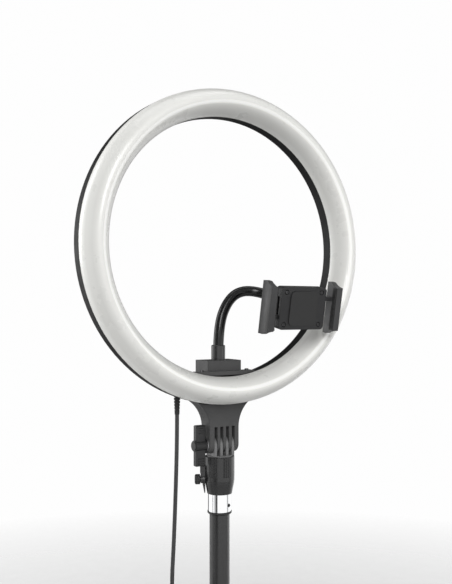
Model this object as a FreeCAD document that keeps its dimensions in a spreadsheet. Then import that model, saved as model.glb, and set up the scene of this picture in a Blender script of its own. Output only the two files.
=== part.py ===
import FreeCAD, Part
import math
import os
import Sketcher
import PartDesign
from FreeCAD import Placement, Rotation, Vector

# Ring light on the top section of its pole, with a gooseneck phone holder and a USB lead.
# Millimetres, +Z up. The origin is the centre of the pole's lower end and Z is the pole's axis.
# The lit face looks along -Y.

DIMENSIONS = {
    # ring head
    "ring_radius": 155,
    "opening_radius": 128,
    "ring_height": 350,
    "seam_forward": 16,
    "housing_depth": 12.5,
    "housing_wall": 2,
    "diffuser_rise": 22,
    "diffuser_wall": 1.8,
    "board_thickness": 1.6,
    "board_standoff": 6,
    # neck and tilt joint
    "tilt_height": 154.5,
    "tilt_forward": 1.5,
    "neck_half_width": 16.7,
    "neck_front": 10,
    "neck_split": 1,
    "neck_back": 6.8,
    "neck_flare": 32,
    "flare_start": 171,
    "slot_top": 172.5,
    "slot_width": 3.5,
    "slot_pitch": 6.6,
    "fin_thickness": 2.9,
    "fin_radius": 8,
    "tine_radius": 8.5,
    "bolt_radius": 3,
    "running_gap": 0.08,
    # pole, sleeve and socket
    "pole_radius": 10,
    "pole_wall": 1.2,
    "pole_top": 100,
    "spigot_radius": 9.8,
    "spigot_bottom": 85,
    "sleeve_radius": 11.5,
    "sleeve_bottom": 88,
    "sleeve_top": 138,
    "rim_bottom": 85.6,
    "socket_radius": 14.75,
    "socket_mouth_radius": 12.3,
    "socket_bottom": 105.5,
    "socket_taper": 118.9,
    "socket_top": 142.6,
    # tilt knob
    "knob_inner": 18,
    "knob_length": 40,
    "knob_width": 6.4,
    # holder base and gooseneck
    "block_half_width": 19.2,
    "block_top": 237.6,
    "block_front": 10.2,
    "block_back": 15.6,
    "gooseneck_y": 2.7,
    "gooseneck_radius": 5.3,
    "ferrule_radius": 7,
    "ferrule_length": 14.7,
    # phone holder, in its own frame: origin at the centre of the phone's back
    "holder_x": 61.4,
    "holder_y": -58,
    "holder_z": 288.6,
    "holder_pitch": 10.9,
    "grip_half": 34.4,
    "jaw_half_height": 26,
    "jaw_outer": 43.6,
    "ball_behind": 21,
    "ball_radius": 6.5,
    "stud_turn": 20.7,
    "stud_rise": 20.3,
    "plate_half_width": 27,
    "plate_half_height": 21,
    "plate_front": 1.2,
    "plate_back": 13,
    "gear_module": 1,
    "gear_teeth": 12,
    # lead
    "cord_radius": 2,
}

doc = FreeCAD.newDocument("ring_light")
sheet = doc.addObject("Spreadsheet::Sheet", "Dims")
for row, (alias, number) in enumerate(DIMENSIONS.items(), start=1):
    sheet.set(f"A{row}", alias)
    sheet.set(f"B{row}", str(number))
    sheet.setAlias(f"B{row}", alias)
doc.recompute()


class Size:
    """A length worked out from the sheet: its value now, and the expression that keeps it bound."""

    def __init__(self, value, text):
        self.value = value
        self.text = text

    def __add__(self, other):
        other = as_size(other)
        return Size(self.value + other.value, f"({self.text} + {other.text})")

    def __sub__(self, other):
        other = as_size(other)
        return Size(self.value - other.value, f"({self.text} - {other.text})")

    def __mul__(self, factor):
        return Size(self.value * factor, f"({self.text} * {factor})")

    def __neg__(self):
        return Size(-self.value, f"(0 - {self.text})")

    def __truediv__(self, divisor):
        return Size(self.value / divisor, f"({self.text} / {divisor})")

    def __radd__(self, other):
        return as_size(other) + self

    def __rsub__(self, other):
        return as_size(other) - self

    def __float__(self):
        return float(self.value)


def as_size(thing):
    return thing if isinstance(thing, Size) else Size(float(thing), f"{float(thing):.6g}")


def dim(alias):
    return Size(float(sheet.get(alias)), f"Dims.{alias}")


def bind(obj, prop, size):
    """Sets a property from a size, and binds it when the size comes from the sheet."""
    size = as_size(size)
    if "Dims." in size.text:
        obj.setExpression(prop, size.text)
    elif "." not in prop:
        setattr(obj, prop, size.value)


# ---------------------------------------------------------------- frames

ring_height = dim("ring_height")
seam_forward = dim("seam_forward")
# Ring frame: X across, Y up from the ring's centre, Z forward from the seam between its shells.
RING = Placement(
    Vector(0, -float(seam_forward), float(ring_height)), Rotation(Vector(1, 0, 0), 90)
)
# Holder frame: X across, Y backward from the phone's back, Z up along the phone.
HOLDER = Placement(
    Vector(float(dim("holder_x")), float(dim("holder_y")), float(dim("holder_z"))),
    Rotation(Vector(1, 0, 0), float(dim("holder_pitch"))),
)
ROW = Placement()

parts = {}


def keep(name, obj):
    obj.Label = name
    parts[name] = obj
    return obj


# ---------------------------------------------------------------- PartDesign helpers


def new_body(name, frame=ROW):
    body = keep(name, doc.addObject("PartDesign::Body", name))
    body.Placement = frame
    return body


def new_sketch(body, plane, offset=0.0):
    """A sketch on one of the body's own origin planes, moved along that plane's normal."""
    sketch = body.newObject("Sketcher::SketchObject", f"{body.Name}_sketch")
    support = next(f for f in body.Origin.OriginFeatures if f.Role == f"{plane}_Plane")
    sketch.AttachmentSupport = (support, [""])
    sketch.MapMode = "FlatFace"
    offset = as_size(offset)
    sketch.AttachmentOffset = Placement(Vector(0, 0, offset.value), Rotation())
    if "Dims." in offset.text:
        sketch.setExpression("AttachmentOffset.Base.z", offset.text)
    return sketch


def constrain(sketch, kind, *references, size):
    size = as_size(size)
    index = sketch.addConstraint(Sketcher.Constraint(kind, *references, size.value))
    if "Dims." in size.text:
        sketch.setExpression(f"Constraints[{index}]", size.text)


def add_outline(sketch, corners):
    """A closed outline. Each corner is (x, y) or (x, y, bow): bow is the radius of the arc to the
    next corner, positive where the arc runs anticlockwise."""
    ends = []
    for here, after in zip(corners, corners[1:] + corners[:1]):
        a = Vector(float(here[0]), float(here[1]), 0)
        b = Vector(float(after[0]), float(after[1]), 0)
        if len(here) == 2:
            geo = sketch.addGeometry(Part.LineSegment(a, b), False)
            ends.append((geo, 1, 2))
            continue
        radius = abs(float(here[2]))
        anticlockwise = float(here[2]) > 0
        chord = b - a
        left = Vector(-chord.y, chord.x, 0).normalize()
        reach = math.sqrt(max(radius**2 - (chord.Length / 2) ** 2, 0))
        centre = (a + b) * 0.5 + left * (reach if anticlockwise else -reach)
        first, last = (a, b) if anticlockwise else (b, a)
        start = math.atan2(first.y - centre.y, first.x - centre.x)
        stop = math.atan2(last.y - centre.y, last.x - centre.x)
        if stop <= start:
            stop += 2 * math.pi
        circle = Part.Circle(centre, Vector(0, 0, 1), radius)
        geo = sketch.addGeometry(Part.ArcOfCircle(circle, start, stop), False)
        ends.append((geo, 1, 2) if anticlockwise else (geo, 2, 1))
        bow = as_size(here[2])
        constrain(sketch, "Radius", geo, size=bow if anticlockwise else -bow)
    for (geo, start, end), (next_geo, next_start, _) in zip(ends, ends[1:] + ends[:1]):
        sketch.addConstraint(Sketcher.Constraint("Coincident", geo, end, next_geo, next_start))
    for (geo, start, end), corner in zip(ends, corners):
        constrain(sketch, "DistanceX", -1, 1, geo, start, size=corner[0])
        constrain(sketch, "DistanceY", -1, 1, geo, start, size=corner[1])
    return sketch


def add_circle(sketch, x, y, radius):
    circle = Part.Circle(Vector(float(x), float(y), 0), Vector(0, 0, 1), float(radius))
    geo = sketch.addGeometry(circle, False)
    constrain(sketch, "Radius", geo, size=radius)
    constrain(sketch, "DistanceX", -1, 1, geo, 3, size=x)
    constrain(sketch, "DistanceY", -1, 1, geo, 3, size=y)
    return sketch


def rectangle(x0, y0, x1, y1):
    return [(x0, y0), (x1, y0), (x1, y1), (x0, y1)]


def rounded_rectangle(x0, y0, x1, y1, r):
    return [
        (x0 + r, y0),
        (x1 - r, y0, r),
        (x1, y0 + r),
        (x1, y1 - r, r),
        (x1 - r, y1),
        (x0 + r, y1, r),
        (x0, y1 - r),
        (x0, y0 + r, r),
    ]


def extrude(body, kind, sketch, length, reverse=False, both=False):
    """A Pad or a Pocket. A Pad grows along the sketch's normal and a Pocket cuts against it,
    unless reversed."""
    feature = body.newObject(f"PartDesign::{kind}", f"{body.Name}_{kind.lower()}")
    feature.Profile = sketch
    bind(feature, "Length", length)
    feature.Reversed = reverse
    feature.Midplane = both
    return feature


def pad(body, sketch, length, reverse=False, both=False):
    return extrude(body, "Pad", sketch, length, reverse, both)


def pocket(body, sketch, length, reverse=False, both=False):
    doc.recompute()
    before = body.Shape.Volume
    feature = extrude(body, "Pocket", sketch, length, reverse, both)
    doc.recompute()
    if not body.Shape.Volume < before - 1e-6:
        raise RuntimeError(f"{body.Label}: {feature.Name} cuts nothing")
    return feature


def revolve(body, sketch):
    """Turns a sketch a full turn about its own vertical axis."""
    doc.recompute()
    feature = body.newObject("PartDesign::Revolution", f"{body.Name}_revolution")
    feature.Profile = sketch
    feature.ReferenceAxis = (sketch, ["V_Axis"])
    feature.Angle = 360
    return feature


def polar(body, feature, count):
    """Copies of a feature, set evenly round the body's Z axis."""
    pattern = body.newObject("PartDesign::PolarPattern", f"{body.Name}_pattern")
    pattern.Originals = [feature]
    axis = next(f for f in body.Origin.OriginFeatures if f.Role == "Z_Axis")
    pattern.Axis = (axis, [""])
    pattern.Angle = 360
    pattern.Occurrences = count
    body.Tip = pattern
    return pattern


def dress(body, kind, size, chooses):
    """Fillets or chamfers the edges of the body's tip for which chooses(edge) is true."""
    doc.recompute()
    base = body.Tip
    names = [f"Edge{i}" for i, edge in enumerate(base.Shape.Edges, start=1) if chooses(edge)]
    if not names:
        raise RuntimeError(f"{body.Label}: no edge to {kind.lower()}")
    feature = body.newObject(f"PartDesign::{kind}", f"{body.Name}_{kind.lower()}")
    feature.Base = (base, names)
    setattr(feature, "Radius" if kind == "Fillet" else "Size", size)
    body.Tip = feature
    return feature


def circle_at(level, radius):
    """Chooses circles of a radius about a vertical line, at a height."""

    def chooses(edge):
        curve = edge.Curve
        if not isinstance(curve, Part.Circle):
            return False
        return abs(curve.Center.z - level) < 0.02 and abs(curve.Radius - radius) < 0.02

    return chooses


def straight_along(axis, test=lambda p: True):
    """Chooses straight edges parallel to axis whose middle passes the test."""

    def chooses(edge):
        if not isinstance(edge.Curve, (Part.Line, Part.LineSegment)):
            return False
        if abs(abs(edge.Curve.Direction[axis]) - 1) > 1e-6:
            return False
        return test((edge.Vertexes[0].Point + edge.Vertexes[-1].Point) * 0.5)

    return chooses


# ---------------------------------------------------------------- Part helpers


def shape_feature(name, shape, frame=ROW):
    """A sub-part whose shape comes from Part's own functions."""
    feature = keep(name, doc.addObject("Part::Feature", name))
    feature.Shape = shape
    feature.Placement = frame.multiply(shape.Placement)
    return feature


def rod(radius, length, at=(0, 0, 0), along=(0, 0, 1)):
    return Part.makeCylinder(float(radius), float(length), Vector(*map(float, at)), Vector(*along))


def cone(r1, r2, length, at=(0, 0, 0), along=(0, 0, 1)):
    return Part.makeCone(
        float(r1), float(r2), float(length), Vector(*map(float, at)), Vector(*along)
    )


def block(x0, y0, z0, x1, y1, z1):
    low = Vector(*map(float, (x0, y0, z0)))
    size = [float(b) - float(a) for a, b in ((x0, x1), (y0, y1), (z0, z1))]
    return Part.makeBox(*size, low)


def pan_screw(at, along, shank, length, head):
    """A pan-head screw with a cross recess: at is under its head, and along points out of it."""
    at = Vector(*map(float, at))
    along = Vector(*along).normalize()
    solid = Part.makeCylinder(shank, length, at - along * length, along)
    solid = solid.fuse(Part.makeCone(head, head * 0.72, head * 0.6, at, along))
    slot = head * 1.15
    width = head * 0.24
    depth = head * 0.3
    cross = Part.makeBox(slot, width, depth, Vector(-slot / 2, -width / 2, 0))
    cross = cross.fuse(Part.makeBox(width, slot, depth, Vector(-width / 2, -slot / 2, 0)))
    cross.Placement = Placement(
        at + along * (head * 0.6 - depth), Rotation(Vector(0, 0, 1), along)
    )
    return solid.cut(cross)


def tube_path(points):
    """Straight runs joined by tangent arcs, each arc as large as its two runs allow."""
    corners = [Vector(*p) for p in points]
    edges = []
    radii = []
    start = corners[0]
    for before, here, after in zip(corners, corners[1:], corners[2:]):
        inward = (here - before).normalize()
        outward = (after - here).normalize()
        turn = inward.getAngle(outward)
        reach = 0.45 * min((here - before).Length, (after - here).Length)
        radius = reach / math.tan(turn / 2)
        radii.append(round(radius, 1))
        first = here - inward * reach
        last = here + outward * reach
        sag = radius * (1 / math.cos(turn / 2) - 1)
        middle = here + (outward - inward).normalize() * sag
        edges.append(Part.LineSegment(start, first).toShape())
        edges.append(Part.Arc(first, middle, last).toShape())
        start = last
    edges.append(Part.LineSegment(start, corners[-1]).toShape())
    return Part.Wire(edges), radii


def tube(label, points, radius):
    """A round rod swept along a route, with its volume compared with section times length."""
    path, radii = tube_path(points)
    begin = path.Edges[0]
    heading = (begin.Vertexes[-1].Point - begin.Vertexes[0].Point).normalize()
    circle = Part.Wire([Part.Circle(Vector(*points[0]), heading, float(radius)).toShape()])
    solid = path.makePipeShell([circle], True, False)
    area = math.pi * float(radius) ** 2
    print(
        f"{label}: length {path.Length:.1f}, radii {radii},"
        f" volume ratio {solid.Volume / (area * path.Length):.4f}"
    )
    return solid


# ---------------------------------------------------------------- ring head

ring_radius = dim("ring_radius")
opening_radius = dim("opening_radius")
housing_depth = dim("housing_depth")
housing_wall = dim("housing_wall")
band_centre = (ring_radius + opening_radius) / 2
board_back = -(dim("board_standoff"))
board_front = board_back + dim("board_thickness")
BOSS_COUNT = 8
BASE_SCREW_PLACES = (-26, 26)
BASE_SCREW_Y = -9.3


def rear_housing():
    """The annular tray behind the diffuser, with posts for the LED board and the cord's boss."""
    body = new_body("rear_housing", RING)
    back = -housing_depth
    floor = back + housing_wall
    edge = 0.8
    sketch = new_sketch(body, "XZ")
    add_outline(
        sketch,
        [
            (opening_radius, 0),
            (opening_radius, back + edge),
            (opening_radius + edge, back),
            (ring_radius - edge, back),
            (ring_radius, back + edge),
            (ring_radius, 0),
            (ring_radius - housing_wall, 0),
            (ring_radius - housing_wall, floor),
            (opening_radius + housing_wall, floor),
            (opening_radius + housing_wall, 0),
        ],
    )
    revolve(body, sketch)
    post = new_sketch(body, "XY", floor - 0.5)
    add_circle(post, band_centre, 0, 3)
    post_pad = pad(body, post, 0.5 + board_back - floor)
    polar(body, post_pad, BOSS_COUNT)
    for x in BASE_SCREW_PLACES:
        hole = new_sketch(body, "XZ", opening_radius - 7)
        add_circle(hole, x, -seam_forward - BASE_SCREW_Y, 1.35)
        pocket(body, hole, 8.5, reverse=True)
    return body


def diffuser():
    """The frosted dome: a band whose section is a superellipse, with two lips inside the tray."""
    centre = float(band_centre)
    half_width = float(ring_radius - opening_radius) / 2
    rise = float(dim("diffuser_rise"))
    power = 2 / 1.7
    lip = 1.5
    lip_gap = 0.1
    lip_depth = 3
    wall = float(housing_wall)

    def section_curve(half, height, steps=12):
        points = []
        for i in range(2 * steps + 1):
            angle = math.pi * i / (2 * steps)
            across = math.copysign(abs(math.cos(angle)) ** power, math.cos(angle))
            points.append(Vector(centre + half * across, 0, height * math.sin(angle) ** power))
        curve = Part.BSplineCurve()
        curve.interpolate(points)
        return curve.toShape()

    inner_half = float(ring_radius) - wall - lip_gap - lip - centre
    outer = section_curve(half_width, rise)
    inner = section_curve(inner_half, rise - float(dim("diffuser_wall")))
    edges = [outer, inner]
    for side in (1, -1):
        rim = centre + side * half_width
        lip_out = centre + side * (inner_half + lip)
        lip_in = centre + side * inner_half
        steps = [(rim, 0), (lip_out, 0), (lip_out, -lip_depth), (lip_in, -lip_depth), (lip_in, 0)]
        for (x0, z0), (x1, z1) in zip(steps, steps[1:]):
            edges.append(Part.LineSegment(Vector(x0, 0, z0), Vector(x1, 0, z1)).toShape())
    wire = Part.Wire(Part.__sortEdges__(edges))
    solid = Part.Face(wire).revolve(Vector(0, 0, 0), Vector(0, 0, 1), 360)
    return shape_feature("diffuser", solid, RING)


def led_board():
    """The annular circuit board, with a hole over each post."""
    body = new_body("led_board", RING)
    sketch = new_sketch(body, "XY", board_back + 0.05)
    add_circle(sketch, 0, 0, ring_radius - 4.2)
    add_circle(sketch, 0, 0, opening_radius + 4.2)
    pad(body, sketch, dim("board_thickness"))
    hole = new_sketch(body, "XY", board_front + 1)
    add_circle(hole, band_centre, 0, 1.3)
    cut = pocket(body, hole, 4)
    polar(body, cut, BOSS_COUNT)
    return body


def around(count, radius, make, phase=0.0):
    """Copies of a shape made at angle 0, set round the ring's axis."""
    shapes = []
    for i in range(count):
        shape = make(radius)
        shape.rotate(Vector(0, 0, 0), Vector(0, 0, 1), phase + 360 * i / count)
        shapes.append(shape)
    return shapes


def led_chips():
    """Two circles of small white light-emitting packages on the board."""
    front = float(board_front) + 0.05

    def chip(radius):
        return block(radius - 1.75, -1.4, front, radius + 1.75, 1.4, front + 0.8)

    centre = float(band_centre)
    chips = around(60, centre - 5, chip, 3) + around(60, centre + 5, chip, 0)
    return shape_feature("led_chips", Part.makeCompound(chips), RING)


def board_screws():
    """Screws that hold the board on the tray's posts."""

    def screw(radius):
        return pan_screw((radius, 0, float(board_front) + 0.05), (0, 0, 1), 1.2, 1.55, 2.2)

    return shape_feature(
        "board_screws", Part.makeCompound(around(BOSS_COUNT, float(band_centre), screw)), RING
    )


def board_connector():
    """The small white socket on the board's back that the lead's wires plug into."""
    top = float(board_back)
    low = top - 3.8
    solid = block(-50, -138, low, -43, -133, top)
    solid = solid.cut(block(-49, -137.2, low - 1, -44, -133.8, top - 1))
    return shape_feature("board_connector", solid, RING)


CORD_X = -45.8
CORD_Y = 4.0
BOSS_TOP = 219.0
BOSS_BOTTOM = 207.0


def cord_boss():
    """The small hood on the tray's back that the lead comes out of, pointing down."""
    back = -float(seam_forward) + float(housing_depth) + 0.05
    body = new_body("cord_boss")
    sketch = new_sketch(body, "XZ", -back)
    add_outline(sketch, rounded_rectangle(CORD_X - 7, BOSS_BOTTOM, CORD_X + 7, BOSS_TOP, 2.5))
    pad(body, sketch, 13, reverse=True)
    bore = new_sketch(body, "XY", BOSS_BOTTOM)
    add_circle(bore, CORD_X, CORD_Y, 3.05)
    pocket(body, bore, 7, reverse=True)
    dress(body, "Fillet", 1.5, straight_along(2, lambda p: p.y > 8))
    return body


def strain_relief():
    """The tapered rubber sleeve on the lead, held in the hood."""
    grip = rod(3, 7, (CORD_X, CORD_Y, BOSS_BOTTOM))
    flex = cone(2.35, 3.4, 21, (CORD_X, CORD_Y, BOSS_BOTTOM - 21.05))
    collar = rod(3.4, 0.5, (CORD_X, CORD_Y, BOSS_BOTTOM - 0.55))
    solid = grip.fuse([flex, collar, rod(3, 1, (CORD_X, CORD_Y, BOSS_BOTTOM - 0.5))])
    for i in range(5):
        level = BOSS_BOTTOM - 5 - 3 * i
        groove = rod(5, 0.9, (CORD_X, CORD_Y, level))
        core = rod(2.2, 0.9, (CORD_X, CORD_Y, level))
        solid = solid.cut(groove.cut(core))
    return shape_feature("strain_relief", solid.removeSplitter())


# ---------------------------------------------------------------- neck

tilt_height = dim("tilt_height")
tilt_y = -dim("tilt_forward")
neck_half = dim("neck_half_width")
neck_front = dim("neck_front")
neck_split = dim("neck_split")
neck_back = dim("neck_back")
flare = dim("neck_flare")
flare_start = dim("flare_start")
bolt_radius = dim("bolt_radius")
running_gap = dim("running_gap")
RING_GAP = 0.15
SLOT_PLACES = (-1.5, -0.5, 0.5, 1.5)


def neck_outline(inset=0.0, bottom=None):
    """The front view of the neck: straight sides that flare out to meet the ring."""
    half = neck_half - inset
    low = bottom if bottom is not None else tilt_height - 8.5
    rise = 28.5
    out = float(flare) - math.sqrt(float(flare) ** 2 - rise**2)
    return [
        (-half, low),
        (half, low),
        (half, flare_start, -flare),
        (half + out, flare_start + rise),
        (half + out, flare_start + rise + 6),
        (-half - out, flare_start + rise + 6),
        (-half - out, flare_start + rise, -flare),
        (-half, flare_start),
    ]


def cut_slots(body, from_plane, depth):
    """The four upright slots that the lower fins stand in, open at the bottom."""
    sketch = new_sketch(body, "XZ", from_plane)
    half = dim("slot_width") / 2
    for place in SLOT_PLACES:
        x = dim("slot_pitch") * place
        add_outline(sketch, rectangle(x - half, 140, x + half, dim("slot_top")))
    return pocket(body, sketch, depth)


def round_tines(body, front_level, back_level):
    """Rounds the neck's lower end about the tilt axis, seen from the side."""
    sketch = new_sketch(body, "YZ", 40)
    radius = dim("tine_radius")
    below = tilt_height - 14
    front = tilt_y - radius
    back = tilt_y + radius
    add_outline(
        sketch,
        [
            (front - 3, tilt_height),
            (front - 3, below),
            (back + 3, below),
            (back + 3, tilt_height),
            (back, tilt_height, -radius),
            (tilt_y, tilt_height - radius, -radius),
            (front, tilt_height),
        ],
    )
    return pocket(body, sketch, 80)


def bolt_bore(body, radius):
    sketch = new_sketch(body, "YZ", 40)
    add_circle(sketch, tilt_y, tilt_height, radius)
    return pocket(body, sketch, 80)


def clear_ring(body, plane, depth):
    """Trims whatever would stand inside the ring housing's outer wall."""
    sketch = new_sketch(body, "XZ", plane)
    add_circle(sketch, 0, ring_height, ring_radius + RING_GAP)
    return pocket(body, sketch, depth)


def neck_front_cover():
    """The front half of the neck: the face with the four slots."""
    body = new_body("neck_front_cover")
    sketch = new_sketch(body, "XZ", neck_front)
    add_outline(sketch, neck_outline())
    pad(body, sketch, neck_front - neck_split, reverse=True)
    clear_ring(body, neck_front + 1, 20)
    hollow = new_sketch(body, "XZ", neck_split)
    add_outline(hollow, rounded_rectangle(-14.5, 177, 14.5, 190, 2))
    pocket(body, hollow, neck_front - neck_split - 2.2, reverse=True)
    cut_slots(body, neck_front + 1, 20)
    round_tines(body, neck_front, neck_split)
    bolt_bore(body, bolt_radius + running_gap)
    dress(body, "Fillet", 1.2, neck_front_edges)
    return body


def neck_front_edges(edge):
    """The long outer edges of the neck's front face: the sides and their flares."""
    ends = [v.Point for v in edge.Vertexes]
    if any(abs(p.y + float(neck_front)) > 0.01 for p in ends):
        return False
    if any(abs(p.x) < float(neck_half) - 0.01 for p in ends):
        return False
    return all(p.z < 199 for p in ends) or isinstance(edge.Curve, Part.Circle) and all(
        p.z < 200 for p in ends
    )


def neck_rear_cover():
    """The back half of the neck. It runs up behind the housing to the holder's base."""
    body = new_body("neck_rear_cover")
    sketch = new_sketch(body, "XZ", neck_split - 0.05)
    add_outline(sketch, neck_outline())
    pad(body, sketch, neck_back + neck_split - 0.05, reverse=True)
    bridge = new_sketch(body, "XZ", seam_forward - housing_depth - 0.05)
    top = dim("block_top") - 5.6
    add_outline(
        bridge,
        [
            (-22, 198),
            (22, 198),
            (19.5, 208),
            (17, top - 3),
            (14, top),
            (-14, top),
            (-17, top - 3),
            (-19.5, 208),
        ],
    )
    pad(body, bridge, BRIDGE_DEPTH, reverse=True)
    hollow = new_sketch(body, "XZ", 6)
    add_outline(hollow, rounded_rectangle(-12, 178, 12, 188, 2))
    pocket(body, hollow, 10.5)
    cut_slots(body, neck_front + 1, 30)
    round_tines(body, neck_split, neck_back)
    bolt_bore(body, bolt_radius + running_gap)
    dress(body, "Fillet", 2, bridge_back_edge)
    for x, z in NECK_SCREW_PLACES:
        hole = new_sketch(body, "XZ", -20)
        add_circle(hole, x, z, 1.6)
        pocket(body, hole, 18, reverse=True)
    return body


BRIDGE_DEPTH = 16
BRIDGE_BACK = float(housing_depth) - float(seam_forward) + 0.05 + BRIDGE_DEPTH
NECK_SCREW_PLACES = [(x, z) for x in (-10, 10) for z in (204, 222)]


def bridge_back_edge(edge):
    """The outer edges of the flat back face of the bridge behind the ring."""
    return all(abs(v.Point.y - BRIDGE_BACK) < 0.01 for v in edge.Vertexes)


def neck_screws():
    """Four screws from behind, through the rear cover."""
    screws = [
        pan_screw((x, BRIDGE_BACK + 0.02, z), (0, 1, 0), 1.5, 9.5, 2.9)
        for x, z in NECK_SCREW_PLACES
    ]
    return shape_feature("neck_screws", Part.makeCompound(screws))


# ---------------------------------------------------------------- tilt joint, socket and pole


def tilt_bracket():
    """The four fins that stand in the neck's slots, on the disc at the top of the socket."""
    body = new_body("tilt_bracket")
    radius = dim("fin_radius")
    disc = new_sketch(body, "XY", dim("socket_top") - 5)
    add_circle(disc, 0, 0, dim("socket_radius") - 1.75)
    pad(body, disc, 6)
    fins = new_sketch(body, "YZ", 0)
    base = dim("socket_top") + 0.5
    add_outline(
        fins,
        [
            (tilt_y - radius, base),
            (tilt_y + radius, base),
            (tilt_y + radius, tilt_height, radius),
            (tilt_y, tilt_height + radius, radius),
            (tilt_y - radius, tilt_height),
        ],
    )
    span = dim("slot_pitch") * 3 + dim("fin_thickness")
    pad(body, fins, span, both=True)
    gaps = new_sketch(body, "XZ", 20)
    half = dim("fin_thickness") / 2
    for place in (-1, 0, 1):
        x = dim("slot_pitch") * place
        reach = dim("slot_pitch") / 2 - half
        add_outline(gaps, rectangle(x - reach, dim("socket_top") + 1, x + reach, 170))
    pocket(body, gaps, 40)
    bolt_bore(body, bolt_radius + running_gap)
    return body


def fluted_socket():
    """The socket on the pole's sleeve: a tapered barrel with groups of flutes between smooth
    panels, and a boss at the back left for the thumb screw."""
    body = new_body("fluted_socket")
    outer = dim("socket_radius")
    mouth = dim("socket_mouth_radius")
    low = dim("socket_bottom")
    taper = dim("socket_taper")
    high = dim("socket_top")
    bore = dim("sleeve_radius") + running_gap
    sketch = new_sketch(body, "XZ")
    add_outline(
        sketch,
        [
            (bore, low),
            (mouth, low),
            (outer - 0.4, taper - 3),
            (outer, taper),
            (outer, high - 0.6),
            (outer - 0.6, high),
            (outer - 1.7, high),
            (outer - 1.7, high - 5.2),
            (bore, high - 5.2),
        ],
    )
    revolve(body, sketch)
    for group in range(6):
        for flute in (-1.5, -0.5, 0.5, 1.5):
            angle = math.radians(60 * group + 30 + 8.5 * flute)
            groove = new_sketch(body, "XY", high + 1)
            add_circle(groove, (outer + 0.1) * math.cos(angle), (outer + 0.1) * math.sin(angle), 0.75)
            pocket(body, groove, high - taper - 3)
    return body


THUMB_ANGLE = 156.0
THUMB_LEVEL = 119.5


def socket_boss():
    """The tapered rib behind the socket's left side, drilled for the thumb screw."""
    outer = float(dim("socket_radius"))
    bore = float(dim("sleeve_radius"))
    rib = Part.Face(
        Part.makePolygon(
            [
                Vector(outer - 1, 0, 108),
                Vector(outer + 0.4, 0, 106),
                Vector(outer + 4.6, 0, 126),
                Vector(outer + 4.6, 0, 132.5),
                Vector(outer - 1, 0, 132.5),
                Vector(outer - 1, 0, 108),
            ]
        )
    ).extrude(Vector(0, 5, 0))
    rib.translate(Vector(0, -2.5, 0))
    collar = rod(4, 4.2, (outer, 0, THUMB_LEVEL), (1, 0, 0))
    solid = rib.fuse(collar).cut(rod(outer, 60, (0, 0, 90)))
    solid = solid.cut(rod(1.58, 30, (bore, 0, THUMB_LEVEL), (1, 0, 0)))
    solid.rotate(Vector(0, 0, 0), Vector(0, 0, 1), THUMB_ANGLE)
    return solid


def add_boss_to_socket(socket):
    """Joins the rib to the socket and drills both for the thumb screw."""
    boss = doc.addObject("Part::Feature", "socket_boss")
    boss.Shape = socket_boss()
    joined = doc.addObject("Part::Fuse", "socket_with_boss")
    joined.Base = socket
    joined.Tool = boss
    drill = doc.addObject("Part::Cylinder", "thumb_screw_hole")
    drill.Radius = 1.58
    drill.Height = 30
    turned = Rotation(Vector(0, 0, 1), THUMB_ANGLE).multiply(Rotation(Vector(0, 1, 0), 90))
    drill.Placement = Placement(Vector(0, 0, THUMB_LEVEL), turned)
    drilled = doc.addObject("Part::Cut", "drilled_socket")
    drilled.Base = joined
    drilled.Tool = drill
    socket.Label = "socket_barrel"
    keep("fluted_socket", drilled)
    return drilled


def thumb_screw():
    """The knurled screw that locks the socket on the sleeve."""
    outer = float(dim("socket_radius"))
    tip = float(dim("sleeve_radius")) + 0.1
    face = outer + 4.9
    solid = rod(1.5, face - tip + 1, (tip, 0, THUMB_LEVEL), (1, 0, 0))
    head = rod(5, 4.2, (face, 0, THUMB_LEVEL), (1, 0, 0))
    head = head.fuse(cone(5, 4.2, 0.8, (face + 4.2, 0, THUMB_LEVEL), (1, 0, 0)))
    for i in range(18):
        angle = 2 * math.pi * i / 18
        y = 5.2 * math.cos(angle)
        z = THUMB_LEVEL + 5.2 * math.sin(angle)
        head = head.cut(rod(0.5, 6, (face - 0.5, y, z), (1, 0, 0)))
    solid = solid.fuse(head)
    solid.rotate(Vector(0, 0, 0), Vector(0, 0, 1), THUMB_ANGLE)
    return shape_feature("thumb_screw", solid)


def chrome_sleeve():
    """The chromed tube at the pole's top, that the socket turns on."""
    body = new_body("chrome_sleeve")
    sketch = new_sketch(body, "XY", dim("sleeve_bottom"))
    add_circle(sketch, 0, 0, dim("sleeve_radius"))
    add_circle(sketch, 0, 0, dim("spigot_radius") + PUSH_GAP)
    pad(body, sketch, dim("sleeve_top") - dim("sleeve_bottom") - 1)
    hole = new_sketch(body, "XZ", 20)
    add_circle(hole, GRUB_X, GRUB_LEVEL, 1.75)
    pocket(body, hole, 20)
    return body


PUSH_GAP = 0.02
GRUB_X = 4.2
GRUB_LEVEL = 94.6


def grub_screw():
    """The socket-head grub screw that fixes the sleeve on the pole."""
    solid = rod(1.7, 2.4, (GRUB_X, -10.9, GRUB_LEVEL), (0, 1, 0))
    solid = solid.cut(rod(0.8, 1.2, (GRUB_X, -11, GRUB_LEVEL), (0, 1, 0)))
    solid = solid.cut(rod(dim("spigot_radius") + PUSH_GAP, 20, (0, 0, GRUB_LEVEL - 10)))
    return shape_feature("grub_screw", solid)


def rim_washer():
    """The thin black collar under the sleeve."""
    body = new_body("rim_washer")
    sketch = new_sketch(body, "XZ")
    low = dim("rim_bottom")
    high = dim("sleeve_bottom") - 0.05
    inner = dim("spigot_radius") + PUSH_GAP
    outer = dim("sleeve_radius") + 0.6
    add_outline(
        sketch, [(inner, low), (outer - 0.8, low), (outer, low + 0.8), (outer, high), (inner, high)]
    )
    revolve(body, sketch)
    return body


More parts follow.
